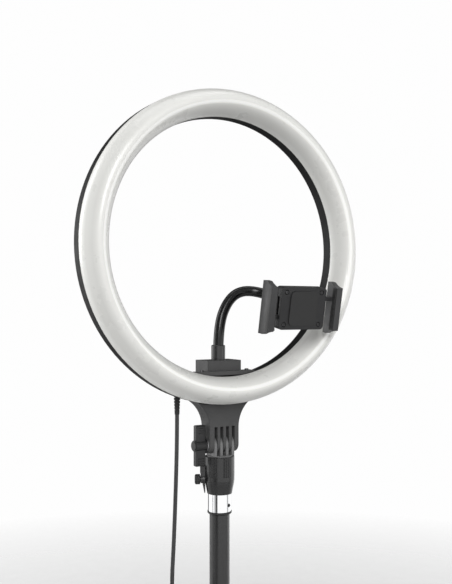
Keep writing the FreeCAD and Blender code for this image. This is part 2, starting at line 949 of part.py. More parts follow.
def pole():
    """The black steel tube whose lower end goes into a stand, turned down inside the sleeve."""
    body = new_body("pole")
    radius = dim("pole_radius")
    inner = radius - dim("pole_wall")
    step = dim("spigot_bottom")
    spigot = dim("spigot_radius")
    top = dim("pole_top")
    sketch = new_sketch(body, "XZ")
    add_outline(
        sketch,
        [(inner, 0), (radius, 0), (radius, step), (spigot, step), (spigot, top), (inner, top)],
    )
    revolve(body, sketch)
    return body


def tilt_bolt():
    """The carriage bolt on the tilt axis, with a square under its round head."""
    y = float(tilt_y)
    z = float(tilt_height)
    half = float(neck_half)
    solid = rod(bolt_radius, half * 2 + 9, (-half - 8.5, y, z), (1, 0, 0))
    solid = solid.fuse(rod(5.5, 1.2, (half + 0.2, y, z), (1, 0, 0)))
    solid = solid.fuse(cone(5.5, 2.5, 1.4, (half + 1.4, y, z), (1, 0, 0)))
    return shape_feature("tilt_bolt", solid)


def tilt_washer():
    y = float(tilt_y)
    z = float(tilt_height)
    x = -float(neck_half) - 1.05
    ring = rod(6.5, 1, (x, y, z), (1, 0, 0)).cut(rod(float(bolt_radius) + 0.2, 3, (x - 1, y, z), (1, 0, 0)))
    return shape_feature("tilt_washer", ring)


def tilt_knob():
    """The T-shaped lock knob: a bar with rounded, ribbed ends on a round hub."""
    body = new_body("tilt_knob")
    inner = dim("knob_inner")
    half = dim("knob_length") / 2
    width = dim("knob_width") / 2
    hub = new_sketch(body, "YZ", -inner - 12)
    add_circle(hub, tilt_y, tilt_height, 5.4)
    pad(body, hub, 12)
    bar = new_sketch(body, "YZ", -inner - 11)
    add_outline(
        bar,
        rounded_rectangle(
            tilt_y - width, tilt_height - half, tilt_y + width, tilt_height + half, 1.5
        ),
    )
    pad(body, bar, 10.4)
    cap = new_sketch(body, "YZ", -inner - 12.8)
    add_circle(cap, tilt_y, tilt_height, 4.6)
    pad(body, cap, 1.2)
    grip = new_sketch(body, "XZ", 12)
    for side in (1, -1):
        for step in range(3):
            level = tilt_height + (12.5 + 2.4 * step) * side
            left = -inner - 9.2
            add_outline(grip, rectangle(left, level - 0.4, left + 6.6, level + 0.4))
    pocket(body, grip, 12 - dim("tilt_forward") - width + 0.5)
    thread = new_sketch(body, "YZ", -inner + 1)
    add_circle(thread, tilt_y, tilt_height, bolt_radius + running_gap)
    pocket(body, thread, 9)
    dress(body, "Fillet", 0.8, straight_along(1, lambda p: abs(p.z - float(tilt_height)) > 19))
    return body


# ---------------------------------------------------------------- holder base and gooseneck


# From the ring's centre down to the top of the holder base's foot.
FOOT_DROP = 122.6


def holder_base():
    """The block inside the ring that carries the gooseneck, with a foot on the housing's wall."""
    body = new_body("holder_base")
    front = dim("block_front")
    half = dim("block_half_width")
    top = dim("block_top")
    foot_top = ring_height - FOOT_DROP
    sketch = new_sketch(body, "XZ", front)
    add_outline(sketch, rectangle(-half, ring_height - 127.4, half, top))
    pad(body, sketch, front + dim("block_back"), reverse=True)
    foot = new_sketch(body, "XZ", seam_forward - 1)
    add_outline(
        foot,
        [
            (-33, ring_height - 126.5),
            (33, ring_height - 126.5),
            (34, foot_top - 1.2),
            (32, foot_top),
            (-32, foot_top),
            (-34, foot_top - 1.2),
        ],
    )
    pad(body, foot, 17.5, reverse=True)
    wall = new_sketch(body, "XZ", seam_forward + 10)
    add_outline(wall, opening_outline())
    pocket(body, wall, 60)
    # Behind the housing only the top and two cheeks are left, which straddle the neck's bridge.
    behind = new_sketch(body, "XZ", seam_forward - housing_depth)
    for left, right in ((-40, -half - 0.1), (-17.9, 17.9), (half + 0.1, 40)):
        add_outline(behind, rectangle(left, 190, right, top - 5.5))
    pocket(body, behind, 40)
    bore = new_sketch(body, "XY", top - 8)
    add_circle(bore, 0, dim("gooseneck_y"), 4 + running_gap)
    pocket(body, bore, 20, reverse=True)
    for x in BASE_SCREW_PLACES:
        hole = new_sketch(body, "XY", foot_top + 1)
        add_circle(hole, x, BASE_SCREW_Y, 1.4)
        pocket(body, hole, 9)
    dress(body, "Fillet", 1, straight_along(2, lambda p: p.z > 229))
    return body


def opening_outline():
    """The region outside the ring's central opening, below its middle."""
    reach = opening_radius - 0.15
    x = reach * math.sin(math.radians(50))
    z = ring_height - reach * math.cos(math.radians(50))
    low = ring_height - reach
    return [(-x, z, reach), (0, low, reach), (x, z), (x, 200), (-x, 200)]


def base_screws():
    """Two screws that hold the base's foot on the housing wall."""
    z = float(ring_height) - FOOT_DROP
    screws = [
        pan_screw((x, BASE_SCREW_Y, z + 0.02), (0, 0, 1), 1.3, 4.6, 2.4)
        for x in BASE_SCREW_PLACES
    ]
    return shape_feature("base_screws", Part.makeCompound(screws))


def lower_ferrule():
    """The metal cup that the gooseneck stands in, pressed into the base."""
    y = float(dim("gooseneck_y"))
    bottom = float(dim("block_top")) + 0.1
    radius = float(dim("ferrule_radius"))
    length = float(dim("ferrule_length"))
    solid = rod(radius, length, (0, y, bottom))
    solid = solid.fuse(rod(4, 6, (0, y, bottom - 5.2)))
    rim = circle_at(bottom + length, radius)
    solid = solid.makeChamfer(0.6, [edge for edge in solid.Edges if rim(edge)])
    socket = rod(float(dim("gooseneck_radius")), 12, (0, y, bottom + 3))
    return shape_feature("lower_ferrule", solid.cut(socket))


holder_normal = HOLDER.Rotation.multVec(Vector(0, 1, 0))
ball_centre = HOLDER.Base + holder_normal * float(dim("ball_behind"))
stud_turn = math.radians(float(dim("stud_turn")))
stud_rise = math.radians(float(dim("stud_rise")))
# The stud leaves the ball backwards, up and to the left.
stud_direction = Vector(
    -math.sin(stud_turn) * math.cos(stud_rise),
    math.cos(stud_turn) * math.cos(stud_rise),
    math.sin(stud_rise),
)
# Stud frame: origin at the ball's centre and Z along the stud.
STUD = Placement(ball_centre, Rotation(Vector(0, 0, 1), stud_direction))
GOOSENECK_ROUTE = [
    (0, 2.7, 240.8),
    (0, 2.7, 269.6),
    (12, 7.1, 294.9),
    (27.9, 6.1, 307.9),
    tuple(ball_centre + stud_direction * 38.4),
    tuple(ball_centre + stud_direction * 19.6),
]


def gooseneck():
    """The bendable neck in two lengths, which meet half way round its arch."""
    radius = dim("gooseneck_radius") - 0.03
    bend = (Vector(*GOOSENECK_ROUTE[2]) + Vector(*GOOSENECK_ROUTE[3])) * 0.5
    first = GOOSENECK_ROUTE[:3] + [tuple(bend)]
    second = [tuple(bend)] + GOOSENECK_ROUTE[3:]
    shape_feature("gooseneck_lower", tube("gooseneck_lower", first, radius))
    shape_feature("gooseneck_upper", tube("gooseneck_upper", second, radius))


def upper_ferrule():
    """The cup on the gooseneck's end, with a threaded hole for the ball's stud."""
    radius = float(dim("ferrule_radius"))
    solid = rod(radius, 10, (0, 0, 15)).fuse(cone(4.2, radius, 2.5, (0, 0, 12.5)))
    solid = solid.cut(rod(float(dim("gooseneck_radius")), 6, (0, 0, 19.5)))
    solid = solid.cut(rod(3.02, 7, (0, 0, 12)))
    return shape_feature("upper_ferrule", solid, STUD)


def ball_stud():
    """The ball and its stud, screwed into the upper ferrule."""
    ball = Part.makeSphere(float(dim("ball_radius")))
    return shape_feature("ball_stud", ball.fuse(rod(3, 18)), STUD)


# ---------------------------------------------------------------- phone holder


def ball_seat():
    """The nylon cup that grips the ball inside the holder's socket."""
    y = float(dim("ball_behind"))
    cup = rod(8.6, 10, (0, y - 7.6, 0), (0, 1, 0))
    cup = cup.cut(Part.makeSphere(float(dim("ball_radius")) + 0.06, Vector(0, y, 0)))
    return shape_feature("ball_seat", cup, HOLDER)


def lock_nut():
    """The ribbed ring nut that closes the socket on the ball."""
    y = float(dim("ball_behind"))
    outer = 14.0
    solid = rod(outer, 11, (0, y - 4.6, 0), (0, 1, 0))
    solid = solid.fuse(cone(outer, 11.5, 1.4, (0, y + 6.4, 0), (0, 1, 0)))
    solid = solid.cut(rod(11.58, 7.4, (0, y - 4.7, 0), (0, 1, 0)))
    solid = solid.cut(cone(6.4, 9.8, 6, (0, y + 2.5, 0), (0, 1, 0)))
    for i in range(24):
        angle = 2 * math.pi * i / 24
        x = (outer + 0.35) * math.cos(angle)
        z = (outer + 0.35) * math.sin(angle)
        solid = solid.cut(rod(0.8, 9, (x, y - 5, z), (0, 1, 0)))
    return shape_feature("lock_nut", solid, HOLDER)


RACK_LEVEL = 6.0
ARM_BACK = 10.4
ARM_FRONT = 4.4
PINION_BACK = 9.9
PINION_FRONT = 6.4


PLATE_SCREW_PLACES = [(x, z) for x in (-21, 21) for z in (-16, 16)]


def holder_back_shell():
    """The holder's rear shell, with the socket for the ball and the pinion's pin."""
    half = float(dim("plate_half_width"))
    split = 4.2
    body = new_body("holder_back_shell", HOLDER)
    sketch = new_sketch(body, "XZ", -split)
    add_outline(
        sketch,
        rounded_rectangle(
            -dim("plate_half_width"),
            -dim("plate_half_height"),
            dim("plate_half_width"),
            dim("plate_half_height"),
            4,
        ),
    )
    pad(body, sketch, dim("plate_back") - split, reverse=True)
    socket = new_sketch(body, "XZ", -dim("plate_back") + 0.5)
    add_circle(socket, 0, 0, 11.5)
    pad(body, socket, dim("ball_behind") + 2.4 - dim("plate_back") + 0.5, reverse=True)
    seat = new_sketch(body, "XZ", -(dim("ball_behind") + 3))
    add_circle(seat, 0, 0, 8.68)
    pocket(body, seat, 3 + 7.65, reverse=True)
    cavity = new_sketch(body, "XZ", -split + 1)
    add_outline(cavity, rectangle(-half - 2, -11.3, half + 2, 11.3))
    pocket(body, cavity, ARM_BACK - split + 1.1)
    pin = new_sketch(body, "XZ", -4.3)
    add_circle(pin, 0, 0, 2)
    pad(body, pin, ARM_BACK + 0.8 - 4.3, reverse=True)
    for x, z in PLATE_SCREW_PLACES:
        hole = new_sketch(body, "XZ", -split + 1)
        add_circle(hole, x, z, 1.2)
        pocket(body, hole, 7)
    dress(body, "Fillet", 2, plate_back_edge)
    return body


def plate_back_edge(edge):
    """The straight outer edges of the rear shell's back face."""
    back = float(dim("plate_back"))
    tall = float(dim("plate_half_height"))
    ends = [v.Point for v in edge.Vertexes]
    if isinstance(edge.Curve, Part.Circle) or any(abs(p.y - back) > 0.01 for p in ends):
        return False
    return all(abs(p.x) > 15 or abs(p.z) > tall - 5 for p in ends)


def holder_front_shell():
    """The holder's front cover, which the phone's back rests against through a pad."""
    body = new_body("holder_front_shell", HOLDER)
    sketch = new_sketch(body, "XZ", -dim("plate_front"))
    add_outline(
        sketch,
        rounded_rectangle(
            -dim("plate_half_width"),
            -dim("plate_half_height"),
            dim("plate_half_width"),
            dim("plate_half_height"),
            4,
        ),
    )
    pad(body, sketch, 4.15 - dim("plate_front"), reverse=True)
    for x, z in PLATE_SCREW_PLACES:
        hole = new_sketch(body, "XZ", 2)
        add_circle(hole, x, z, 1.4)
        pocket(body, hole, 8)
        sink = new_sketch(body, "XZ", 2)
        add_circle(sink, x, z, 2.5)
        pocket(body, sink, 2 + dim("plate_front") + 1.5)
    return body


def holder_pad():
    """The thin rubber pad on the holder's front."""
    body = new_body("holder_pad", HOLDER)
    sketch = new_sketch(body, "XZ", -0.2)
    add_outline(sketch, rounded_rectangle(-16, -17, 16, 17, 5))
    pad(body, sketch, dim("plate_front") - 0.2, reverse=True)
    return body


def holder_screws():
    screws = [
        pan_screw((x, 2.68, z), (0, -1, 0), 1.15, 5.5, 2.2) for x, z in PLATE_SCREW_PLACES
    ]
    return shape_feature("holder_screws", Part.makeCompound(screws), HOLDER)


def rack_teeth(module, backlash, count):
    """A row of straight-sided teeth along X, pointing down from z = 0, with one at x = 0."""
    pitch = math.pi * module
    slope = math.tan(math.radians(20))
    half = pitch / 4 - backlash / 2
    tip = 0.68 * module
    root = 1.25 * module
    teeth = []
    for i in range(count):
        x = pitch * (i - (count - 1) / 2)
        corners = [
            (x - half - root * slope, root),
            (x - half + tip * slope, -tip),
            (x + half - tip * slope, -tip),
            (x + half + root * slope, root),
        ]
        points = [Vector(px, 0, pz) for px, pz in corners]
        teeth.append(Part.Face(Part.makePolygon(points + points[:1])))
    return teeth


def jaw(name, side):
    """A gripping jaw: a curved cheek with a rack arm that slides in the holder."""
    grip = float(dim("grip_half")) + 1.5
    outer = float(dim("jaw_outer"))
    tall = float(dim("jaw_half_height"))
    front = -4.0
    back = 12.0
    scoop = 26.0
    cheek = block(grip, front, -tall, outer, back, tall)
    waist = outer - 2.2 + scoop
    cheek = cheek.cut(rod(scoop, 4 * tall, (waist, 4, -2 * tall)))
    for end in (1, -1):
        ramp = rod(30, 40, (20, front - 5.5, end * (tall + 25.2)), (1, 0, 0))
        cheek = cheek.cut(ramp)
    level = RACK_LEVEL
    arm_low = level + 1.25
    arm_high = 11.0
    reach = -15.5
    arm = block(reach, ARM_FRONT, arm_low, grip + 1, ARM_BACK, arm_high)
    teeth = rack_teeth(float(dim("gear_module")), 0.15, 9)
    for face in teeth:
        face.translate(Vector(0, PINION_FRONT, level))
        arm = arm.fuse(face.extrude(Vector(0, PINION_BACK - PINION_FRONT, 0)))
    solid = cheek.fuse(arm).removeSplitter()
    if side < 0:
        solid.rotate(Vector(0, 0, 0), Vector(0, 1, 0), 180)
    return shape_feature(name, solid, HOLDER)


def jaw_pad(name, side):
    """The soft lining on a jaw's gripping face."""
    face = float(dim("grip_half"))
    tall = float(dim("jaw_half_height")) - 5
    solid = block(face, -3.4, -tall, face + 1.45, 0.9, tall)
    for i in range(7):
        level = -tall + 3 + i * (2 * tall - 6) / 6
        solid = solid.cut(block(face - 1, -4, level - 0.4, face + 0.5, 3, level + 0.4))
    if side < 0:
        solid.rotate(Vector(0, 0, 0), Vector(0, 1, 0), 180)
    return shape_feature(name, solid, HOLDER)


def involute(base, radius):
    """Polar angle, from where the involute leaves its base circle, at a radius."""
    angle = math.sqrt((radius / base) ** 2 - 1)
    return angle - math.atan(angle)


def pinion():
    """The gear that makes the jaws move together, with involute teeth and gaps at top and bottom."""
    module = float(dim("gear_module"))
    count = int(float(dim("gear_teeth")))
    pitch = module * count / 2
    base = pitch * math.cos(math.radians(20))
    tip = pitch + 0.9 * module
    root = pitch - 1.2 * module
    half_at_pitch = math.pi / (2 * count) - 0.075 / pitch
    half_at_base = half_at_pitch + involute(base, pitch)
    radii = [base + (tip - base) * i / 4 for i in range(5)]
    points = []
    for tooth in range(count):
        middle = math.pi * (2 * tooth + 1) / count
        rising = [(root, -half_at_base)] + [(r, -half_at_base + involute(base, r)) for r in radii]
        falling = [(r, -a) for r, a in reversed(rising)]
        for r, a in rising + falling:
            points.append(Vector(r * math.sin(middle + a), 0, r * math.cos(middle + a)))
    face = Part.Face(Part.makePolygon(points + points[:1]))
    solid = face.extrude(Vector(0, PINION_BACK - PINION_FRONT - 0.3, 0))
    solid.translate(Vector(0, PINION_FRONT + 0.15, 0))
    solid = solid.cut(rod(2.06, 20, (0, 0, 0), (0, 1, 0)))
    return shape_feature("pinion", solid, HOLDER)


def return_spring():
    """The torsion spring round the pinion's pin, which draws the jaws together."""
    wire = 0.25
    corner = 3.6
    pitch = 0.6
    points = []
    for quarter in range(9):
        angle = math.radians(90 * quarter)
        level = ARM_FRONT + wire + 0.1 + pitch * quarter / 4
        points.append((corner * math.cos(angle), level, corner * math.sin(angle)))
    return shape_feature("return_spring", tube("return_spring", points, wire), HOLDER)


# ---------------------------------------------------------------- lead

cord_radius = dim("cord_radius")
CONTROL_TOP = 6.0
CONTROL_X = -51.0
CONTROL_LENGTH = 62.0
DROP_ROUTE = [
    (CORD_X, CORD_Y, BOSS_BOTTOM - 21.05),
    (CORD_X, CORD_Y, 160),
    (CORD_X - 1.4, CORD_Y, 110),
    (CORD_X - 3.4, CORD_Y, 60),
    (CONTROL_X, CORD_Y, 31),
    (CONTROL_X, CORD_Y, CONTROL_TOP + 8.05),
]


def cord_drop():
    return shape_feature("cord_drop", tube("cord_drop", DROP_ROUTE, cord_radius))


def control_shell(name, side):
    """One half of the in-line controller's case: front (side -1) or back (side 1)."""
    length = CONTROL_LENGTH
    top = CONTROL_TOP
    body = new_body(name)
    seam = -CORD_Y + 0.02 if side < 0 else -CORD_Y - 0.02
    sketch = new_sketch(body, "XZ", seam)
    outline = rounded_rectangle(CONTROL_X - 9, top - length, CONTROL_X + 9, top, 6)
    add_outline(sketch, outline)
    pad(body, sketch, 6, reverse=side > 0)
    hollow = new_sketch(body, "XZ", seam)
    inner = rounded_rectangle(CONTROL_X - 7.6, top - length + 1.4, CONTROL_X + 7.6, top - 1.4, 4.6)
    add_outline(hollow, inner)
    pocket(body, hollow, 4.6, reverse=side < 0)
    face = CORD_Y + side * 6
    dress(body, "Fillet", 2.2, lambda e: all(abs(v.Point.y - face) < 0.1 for v in e.Vertexes))
    if side < 0:
        for place in range(4):
            hole = new_sketch(body, "XZ", -CORD_Y + 8)
            add_circle(hole, CONTROL_X, top - 13 - 12 * place, BUTTON_RADIUS + 0.3)
            pocket(body, hole, 4)
    for end in (1, -1):
        level = top if end > 0 else top - length
        entry = new_sketch(body, "XY", level - 3 * end)
        add_circle(entry, CONTROL_X, CORD_Y, 3.1)
        pocket(body, entry, 6, reverse=end > 0)
    return body


BUTTON_RADIUS = 3.6
BUTTON_NAMES = ("power_button", "brighter_button", "dimmer_button", "colour_button")


def control_buttons():
    """Four round keys, each with a flange inside the case."""
    for place, name in enumerate(BUTTON_NAMES):
        z = CONTROL_TOP - 13 - 12 * place
        face = CORD_Y - 6
        key = rod(BUTTON_RADIUS, 2.6, (CONTROL_X, face - 0.9, z), (0, 1, 0))
        flange = rod(BUTTON_RADIUS + 0.9, 0.6, (CONTROL_X, face + 1.65, z), (0, 1, 0))
        dish = Part.makeSphere(14, Vector(CONTROL_X, face - 0.9 - 13.7, z))
        shape_feature(name, key.fuse(flange).cut(dish))


def control_board():
    """The controller's circuit board, with a switch under each key."""
    top = CONTROL_TOP
    y = CORD_Y - 0.6
    solid = block(CONTROL_X - 7, y, top - CONTROL_LENGTH + 4, CONTROL_X + 7, y + 1.2, top - 4)
    for place in range(4):
        z = top - 13 - 12 * place
        solid = solid.fuse(block(CONTROL_X - 2, y - 1.0, z - 2, CONTROL_X + 2, y, z + 2))
    return shape_feature("control_board", solid)


def control_reliefs():
    """The two rubber sleeves on the lead at the controller's ends."""
    sleeves = []
    for end, level in ((1, CONTROL_TOP), (-1, CONTROL_TOP - CONTROL_LENGTH)):
        grip = rod(3.05, 3.2, (CONTROL_X, CORD_Y, level - 2 * end - 1.6))
        flex = cone(3.0, 2.3, 8, (CONTROL_X, CORD_Y, level), (0, 0, end))
        sleeves.append(grip.fuse(flex).removeSplitter())
    return shape_feature("control_reliefs", Part.makeCompound(sleeves))


HANK_TOP = -94.0
HANK_LENGTH = 88.0
HANK_DEPTH = 10.3
CONTROL_END = CONTROL_TOP - CONTROL_LENGTH - 8.05
LINK_ROUTE = [
    (CONTROL_X, CORD_Y, CONTROL_END),
    (CONTROL_X, CORD_Y, CONTROL_END - 9),
    (CONTROL_X + 2, CORD_Y - 8.2, HANK_TOP + 9),
    (CONTROL_X + 2, CORD_Y - 8.2, HANK_TOP + 0.05),
]


def cord_link():
    return shape_feature("cord_link", tube("cord_link", LINK_ROUTE, cord_radius))


def cord_hank():
    """The outer shape of the folded length: wide where the folds turn, narrow at its tie."""
    levels = [0.0, 0.03, 0.08, 0.15, 0.23, 0.36, 0.5]
    widths = [6.0, 10.0, 14.6, 17.6, 18.4, 14.6, 10.4]
    levels += [1 - level for level in reversed(levels[:-1])]
    widths += list(reversed(widths[:-1]))
    wires = []
    for level, half in zip(levels, widths):
        z = HANK_TOP - HANK_LENGTH * level
        wires.append(oval(half, HANK_DEPTH, z))
    return shape_feature("cord_hank", Part.makeLoft(wires, True, True))


def oval(half_width, half_depth, z):
    """An ellipse about the hank's axis, at a height, with its longer axis first."""
    centre = Vector(CONTROL_X, CORD_Y, z)
    if half_width >= half_depth:
        ellipse = Part.Ellipse(centre, half_width, half_depth)
        return Part.Wire([ellipse.toShape()])
    ellipse = Part.Ellipse(centre, half_depth, half_width)
    turned = ellipse.toShape()
    turned.rotate(centre, Vector(0, 0, 1), 90)
    return Part.Wire([turned])


def cord_tie():
    """The strap round the hank's middle."""
    low = HANK_TOP - HANK_LENGTH / 2 - 5
    outer = Part.Face(oval(13.4, HANK_DEPTH + 2.1, low))
    inner = Part.Face(oval(12, HANK_DEPTH + 0.7, low))
    return shape_feature("cord_tie", outer.cut(inner).extrude(Vector(0, 0, 10)))


TAIL_ROUTE = [
    (CONTROL_X - 2.1, CORD_Y + 8.2, HANK_TOP + 0.05),
    (CONTROL_X - 2.1, CORD_Y + 8.2, HANK_TOP + 13),
    (CONTROL_X - 12, CORD_Y + 10, HANK_TOP + 26),
    (CONTROL_X - 26, CORD_Y + 10, HANK_TOP + 26),
    (CONTROL_X - 34.5, CORD_Y + 10, HANK_TOP + 14),
    (CONTROL_X - 36, CORD_Y + 10, HANK_TOP),
]


def cord_tail():
    return shape_feature("cord_tail", tube("cord_tail", TAIL_ROUTE, cord_radius))


def plug():
    """The USB plug: a moulded grip with a tapered sleeve, its metal shell and its tongue."""
    direction = (Vector(*TAIL_ROUTE[-1]) - Vector(*TAIL_ROUTE[-2])).normalize()
    frame = Placement(Vector(*TAIL_ROUTE[-1]), Rotation(Vector(0, 0, -1), direction))
    relief = cone(3.4, 2.4, 9.5, (0, 0, -9.55))
    grip = block(-8, -4, -30, 8, 4, -9.5)
    grip = grip.makeFillet(2, [e for e in grip.Edges if straight_along(2)(e)])
    shape_feature("plug_grip", grip.fuse(relief), frame)
    shell = block(-6, -2.25, -48.5, 6, 2.25, -30.05)
    shell = shell.cut(block(-5.7, -1.95, -49, 5.7, 1.95, -33))
    tongue = block(-5.5, -0.1, -47.5, 5.5, 1.75, -33.05)
    shape_feature("plug_shell", shell, frame)
    shape_feature("plug_tongue", tongue, frame)


# ---------------------------------------------------------------- build and write


def build():
    rear_housing()
    diffuser()
    led_board()
    led_chips()
    board_screws()
    board_connector()
    cord_boss()
    strain_relief()
    neck_front_cover()
    neck_rear_cover()
    neck_screws()
    tilt_bracket()
    add_boss_to_socket(fluted_socket())
    thumb_screw()
    chrome_sleeve()
    grub_screw()
    rim_washer()
    pole()
    tilt_bolt()
    tilt_washer()
    tilt_knob()
    holder_base()
    base_screws()
    lower_ferrule()
    gooseneck()
    upper_ferrule()
    ball_stud()
    ball_seat()
    lock_nut()
    holder_back_shell()
    holder_front_shell()
    holder_pad()
    holder_screws()
    jaw("right_jaw", 1)
    jaw("left_jaw", -1)
    jaw_pad("right_jaw_pad", 1)
    jaw_pad("left_jaw_pad", -1)
    pinion()
    return_spring()
    cord_drop()
    control_shell("control_front_shell", -1)
    control_shell("control_back_shell", 1)
    control_buttons()
    control_board()
    control_reliefs()
    cord_link()
    cord_hank()
    cord_tie()
    cord_tail()
    plug()


def check_document():
    bad = [o.Label for o in doc.Objects if {"Invalid", "Error"} & set(o.State)]
    for name, obj in parts.items():
        shape = obj.Shape
        if shape.isNull() or not shape.isValid() or not shape.Solids:
            bad.append(name)
    if bad:
        raise RuntimeError(f"failed objects: {sorted(set(bad))}")


build()
doc.recompute()
check_document()
os.makedirs("parts", exist_ok=True)
for name, obj in parts.items():
    obj.Shape.exportStep(f"parts/{name}.step")
print(f"{len(parts)} parts written")
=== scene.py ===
import math

import bmesh
import bpy
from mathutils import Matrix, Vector


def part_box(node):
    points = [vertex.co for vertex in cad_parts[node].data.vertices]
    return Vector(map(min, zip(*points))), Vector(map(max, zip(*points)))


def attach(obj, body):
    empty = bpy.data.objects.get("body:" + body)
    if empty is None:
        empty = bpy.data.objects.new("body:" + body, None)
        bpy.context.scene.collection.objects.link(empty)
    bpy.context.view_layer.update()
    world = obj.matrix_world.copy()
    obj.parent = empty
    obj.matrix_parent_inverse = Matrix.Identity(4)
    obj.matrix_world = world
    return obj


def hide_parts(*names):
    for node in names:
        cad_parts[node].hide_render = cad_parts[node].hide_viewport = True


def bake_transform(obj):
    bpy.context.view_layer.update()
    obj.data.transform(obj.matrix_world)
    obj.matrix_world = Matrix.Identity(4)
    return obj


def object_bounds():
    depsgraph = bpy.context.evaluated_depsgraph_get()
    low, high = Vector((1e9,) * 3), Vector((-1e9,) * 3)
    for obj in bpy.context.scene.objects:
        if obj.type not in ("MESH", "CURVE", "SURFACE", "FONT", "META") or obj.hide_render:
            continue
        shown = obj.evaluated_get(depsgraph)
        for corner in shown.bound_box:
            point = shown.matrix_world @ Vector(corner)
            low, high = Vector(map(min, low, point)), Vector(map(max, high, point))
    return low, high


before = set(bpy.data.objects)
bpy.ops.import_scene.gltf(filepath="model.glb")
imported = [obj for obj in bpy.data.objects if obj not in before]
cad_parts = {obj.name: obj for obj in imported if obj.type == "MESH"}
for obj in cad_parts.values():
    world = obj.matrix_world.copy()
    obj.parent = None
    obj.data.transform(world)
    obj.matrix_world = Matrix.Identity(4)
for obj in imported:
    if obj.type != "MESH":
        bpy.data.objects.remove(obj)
CAD_BOX = [list(corner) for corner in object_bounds()]

MM = 0.001


# ---------------------------------------------------------------- camera

# The place is measured from the ring's centre, at the front of its housing.
CAMERA_LENS = 49.63
CAMERA_SENSOR = 36
CAMERA_PLACE = (-0.41088, -0.67848, -0.06329)
CAMERA_HEADING = (0.51583, 0.85638, 0.02342)


def make_camera():
    """The camera stands left of the ring's axis, a little below its centre, and looks slightly
    up."""
    low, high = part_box("rear_housing")
    ring_centre = Vector(((low[0] + high[0]) / 2, low[1], (low[2] + high[2]) / 2))
    camera = bpy.data.cameras.new("camera")
    camera.lens = CAMERA_LENS
    camera.sensor_width = CAMERA_SENSOR
    obj = bpy.data.objects.new("camera", camera)
    bpy.context.scene.collection.objects.link(obj)
    obj.location = ring_centre + Vector(CAMERA_PLACE)
    obj.rotation_euler = Vector(CAMERA_HEADING).to_track_quat("-Z", "Y").to_euler()
    bpy.context.scene.camera = obj


# ---------------------------------------------------------------- curves and meshes


def link(obj):
    bpy.context.scene.collection.objects.link(obj)
    return obj


def smooth_line(name, points, radius=0.0, steps=8, sides=6):
    """A NURBS line with the points as its control points, round in section if it has a radius."""
    curve = bpy.data.curves.new(name, "CURVE")
    curve.dimensions = "3D"
    spline = curve.splines.new("NURBS")
    spline.points.add(len(points) - 1)
    for point, place in zip(spline.points, points):
        point.co = (*place, 1)
    spline.order_u = 3
    spline.use_endpoint_u = True
    spline.resolution_u = steps
    curve.bevel_depth = radius
    curve.bevel_resolution = sides
    curve.use_fill_caps = True
    return link(bpy.data.objects.new(name, curve))


def to_mesh(obj):
    """The same object as a smooth-shaded mesh."""
    depsgraph = bpy.context.evaluated_depsgraph_get()
    mesh = bpy.data.meshes.new_from_object(obj.evaluated_get(depsgraph))
    name = obj.name
    bpy.data.objects.remove(obj)
    made = link(bpy.data.objects.new(name, mesh))
    for face in mesh.polygons:
        face.use_smooth = True
    return made


def line_points(points, steps=8):
    """Points along the NURBS line of a route."""
    line = smooth_line("measured_line", points, steps=steps)
    mesh = bpy.data.meshes.new_from_object(
        line.evaluated_get(bpy.context.evaluated_depsgraph_get())
    )
    places = [tuple(vertex.co) for vertex in mesh.vertices]
    bpy.data.objects.remove(line)
    return places


def scaled(points):
    return [tuple(value * MM for value in point) for point in points]


# ---------------------------------------------------------------- lead

# Routes and the hank's sizes are in millimetres. LINK and TAIL join the hank to the controller
# and to the plug. INNER and OUTER are rings of the hank: the half width at its waist and at its
# folds.
CORD_RADIUS = 2 * MM
CORD_X, CORD_Y = -45.8, 4.0
CONTROL_X = -51.0
DROP = [
    (CORD_X, CORD_Y, 185.95),
    (CORD_X, CORD_Y, 160),
    (CORD_X - 1.4, CORD_Y, 110),
    (CORD_X - 3.4, CORD_Y, 60),
    (CONTROL_X, CORD_Y, 31),
    (CONTROL_X, CORD_Y, 14.05),
]
HANK_MIDDLE = -138.0
LINK = [
    (CONTROL_X, CORD_Y, -64.05),
    (CONTROL_X, CORD_Y, -73.05),
    (CONTROL_X + 2, CORD_Y - 8.2, -85),
    (CONTROL_X + 2, CORD_Y - 8.2, -93.95),
]
TAIL = [
    (CONTROL_X - 2.1, CORD_Y + 8.2, -93.95),
    (CONTROL_X - 2.1, CORD_Y + 8.2, -81),
    (CONTROL_X - 12, CORD_Y + 10, -68),
    (CONTROL_X - 26, CORD_Y + 10, -68),
    (CONTROL_X - 34.5, CORD_Y + 10, -80),
    (CONTROL_X - 36, CORD_Y + 10, -94),
]
FOLD_HEIGHT = 25.5
FOLD_STEPS = 8
LEVELS = (1, 0.7, 0.4, 0.15, -0.15, -0.4, -0.7, -1)
LAYER = 4.1
BULGE = 2.2
INNER = (2.1, 12.0)
OUTER = (6.3, 16.2)
WAY_IN = [(2.1, -8.2, 32), (2.3, -7.6, 21), (2.3, -5.8, 11)]
WAY_OUT = [(-6.2, 5.8, 11), (-4.6, 7.6, 21), (-2.6, 8.2, 32)]


def strand(ring, side, layer, downward):
    """One straight pass of the hank, drawn in at its middle by the tie."""
    waist, wide = ring
    points = []
    for level in LEVELS:
        share = (1 - math.cos(math.pi * abs(level))) / 2
        x = side * (waist + (wide - waist) * share)
        points.append((x, layer, FOLD_HEIGHT * level))
    return points if downward else points[::-1]


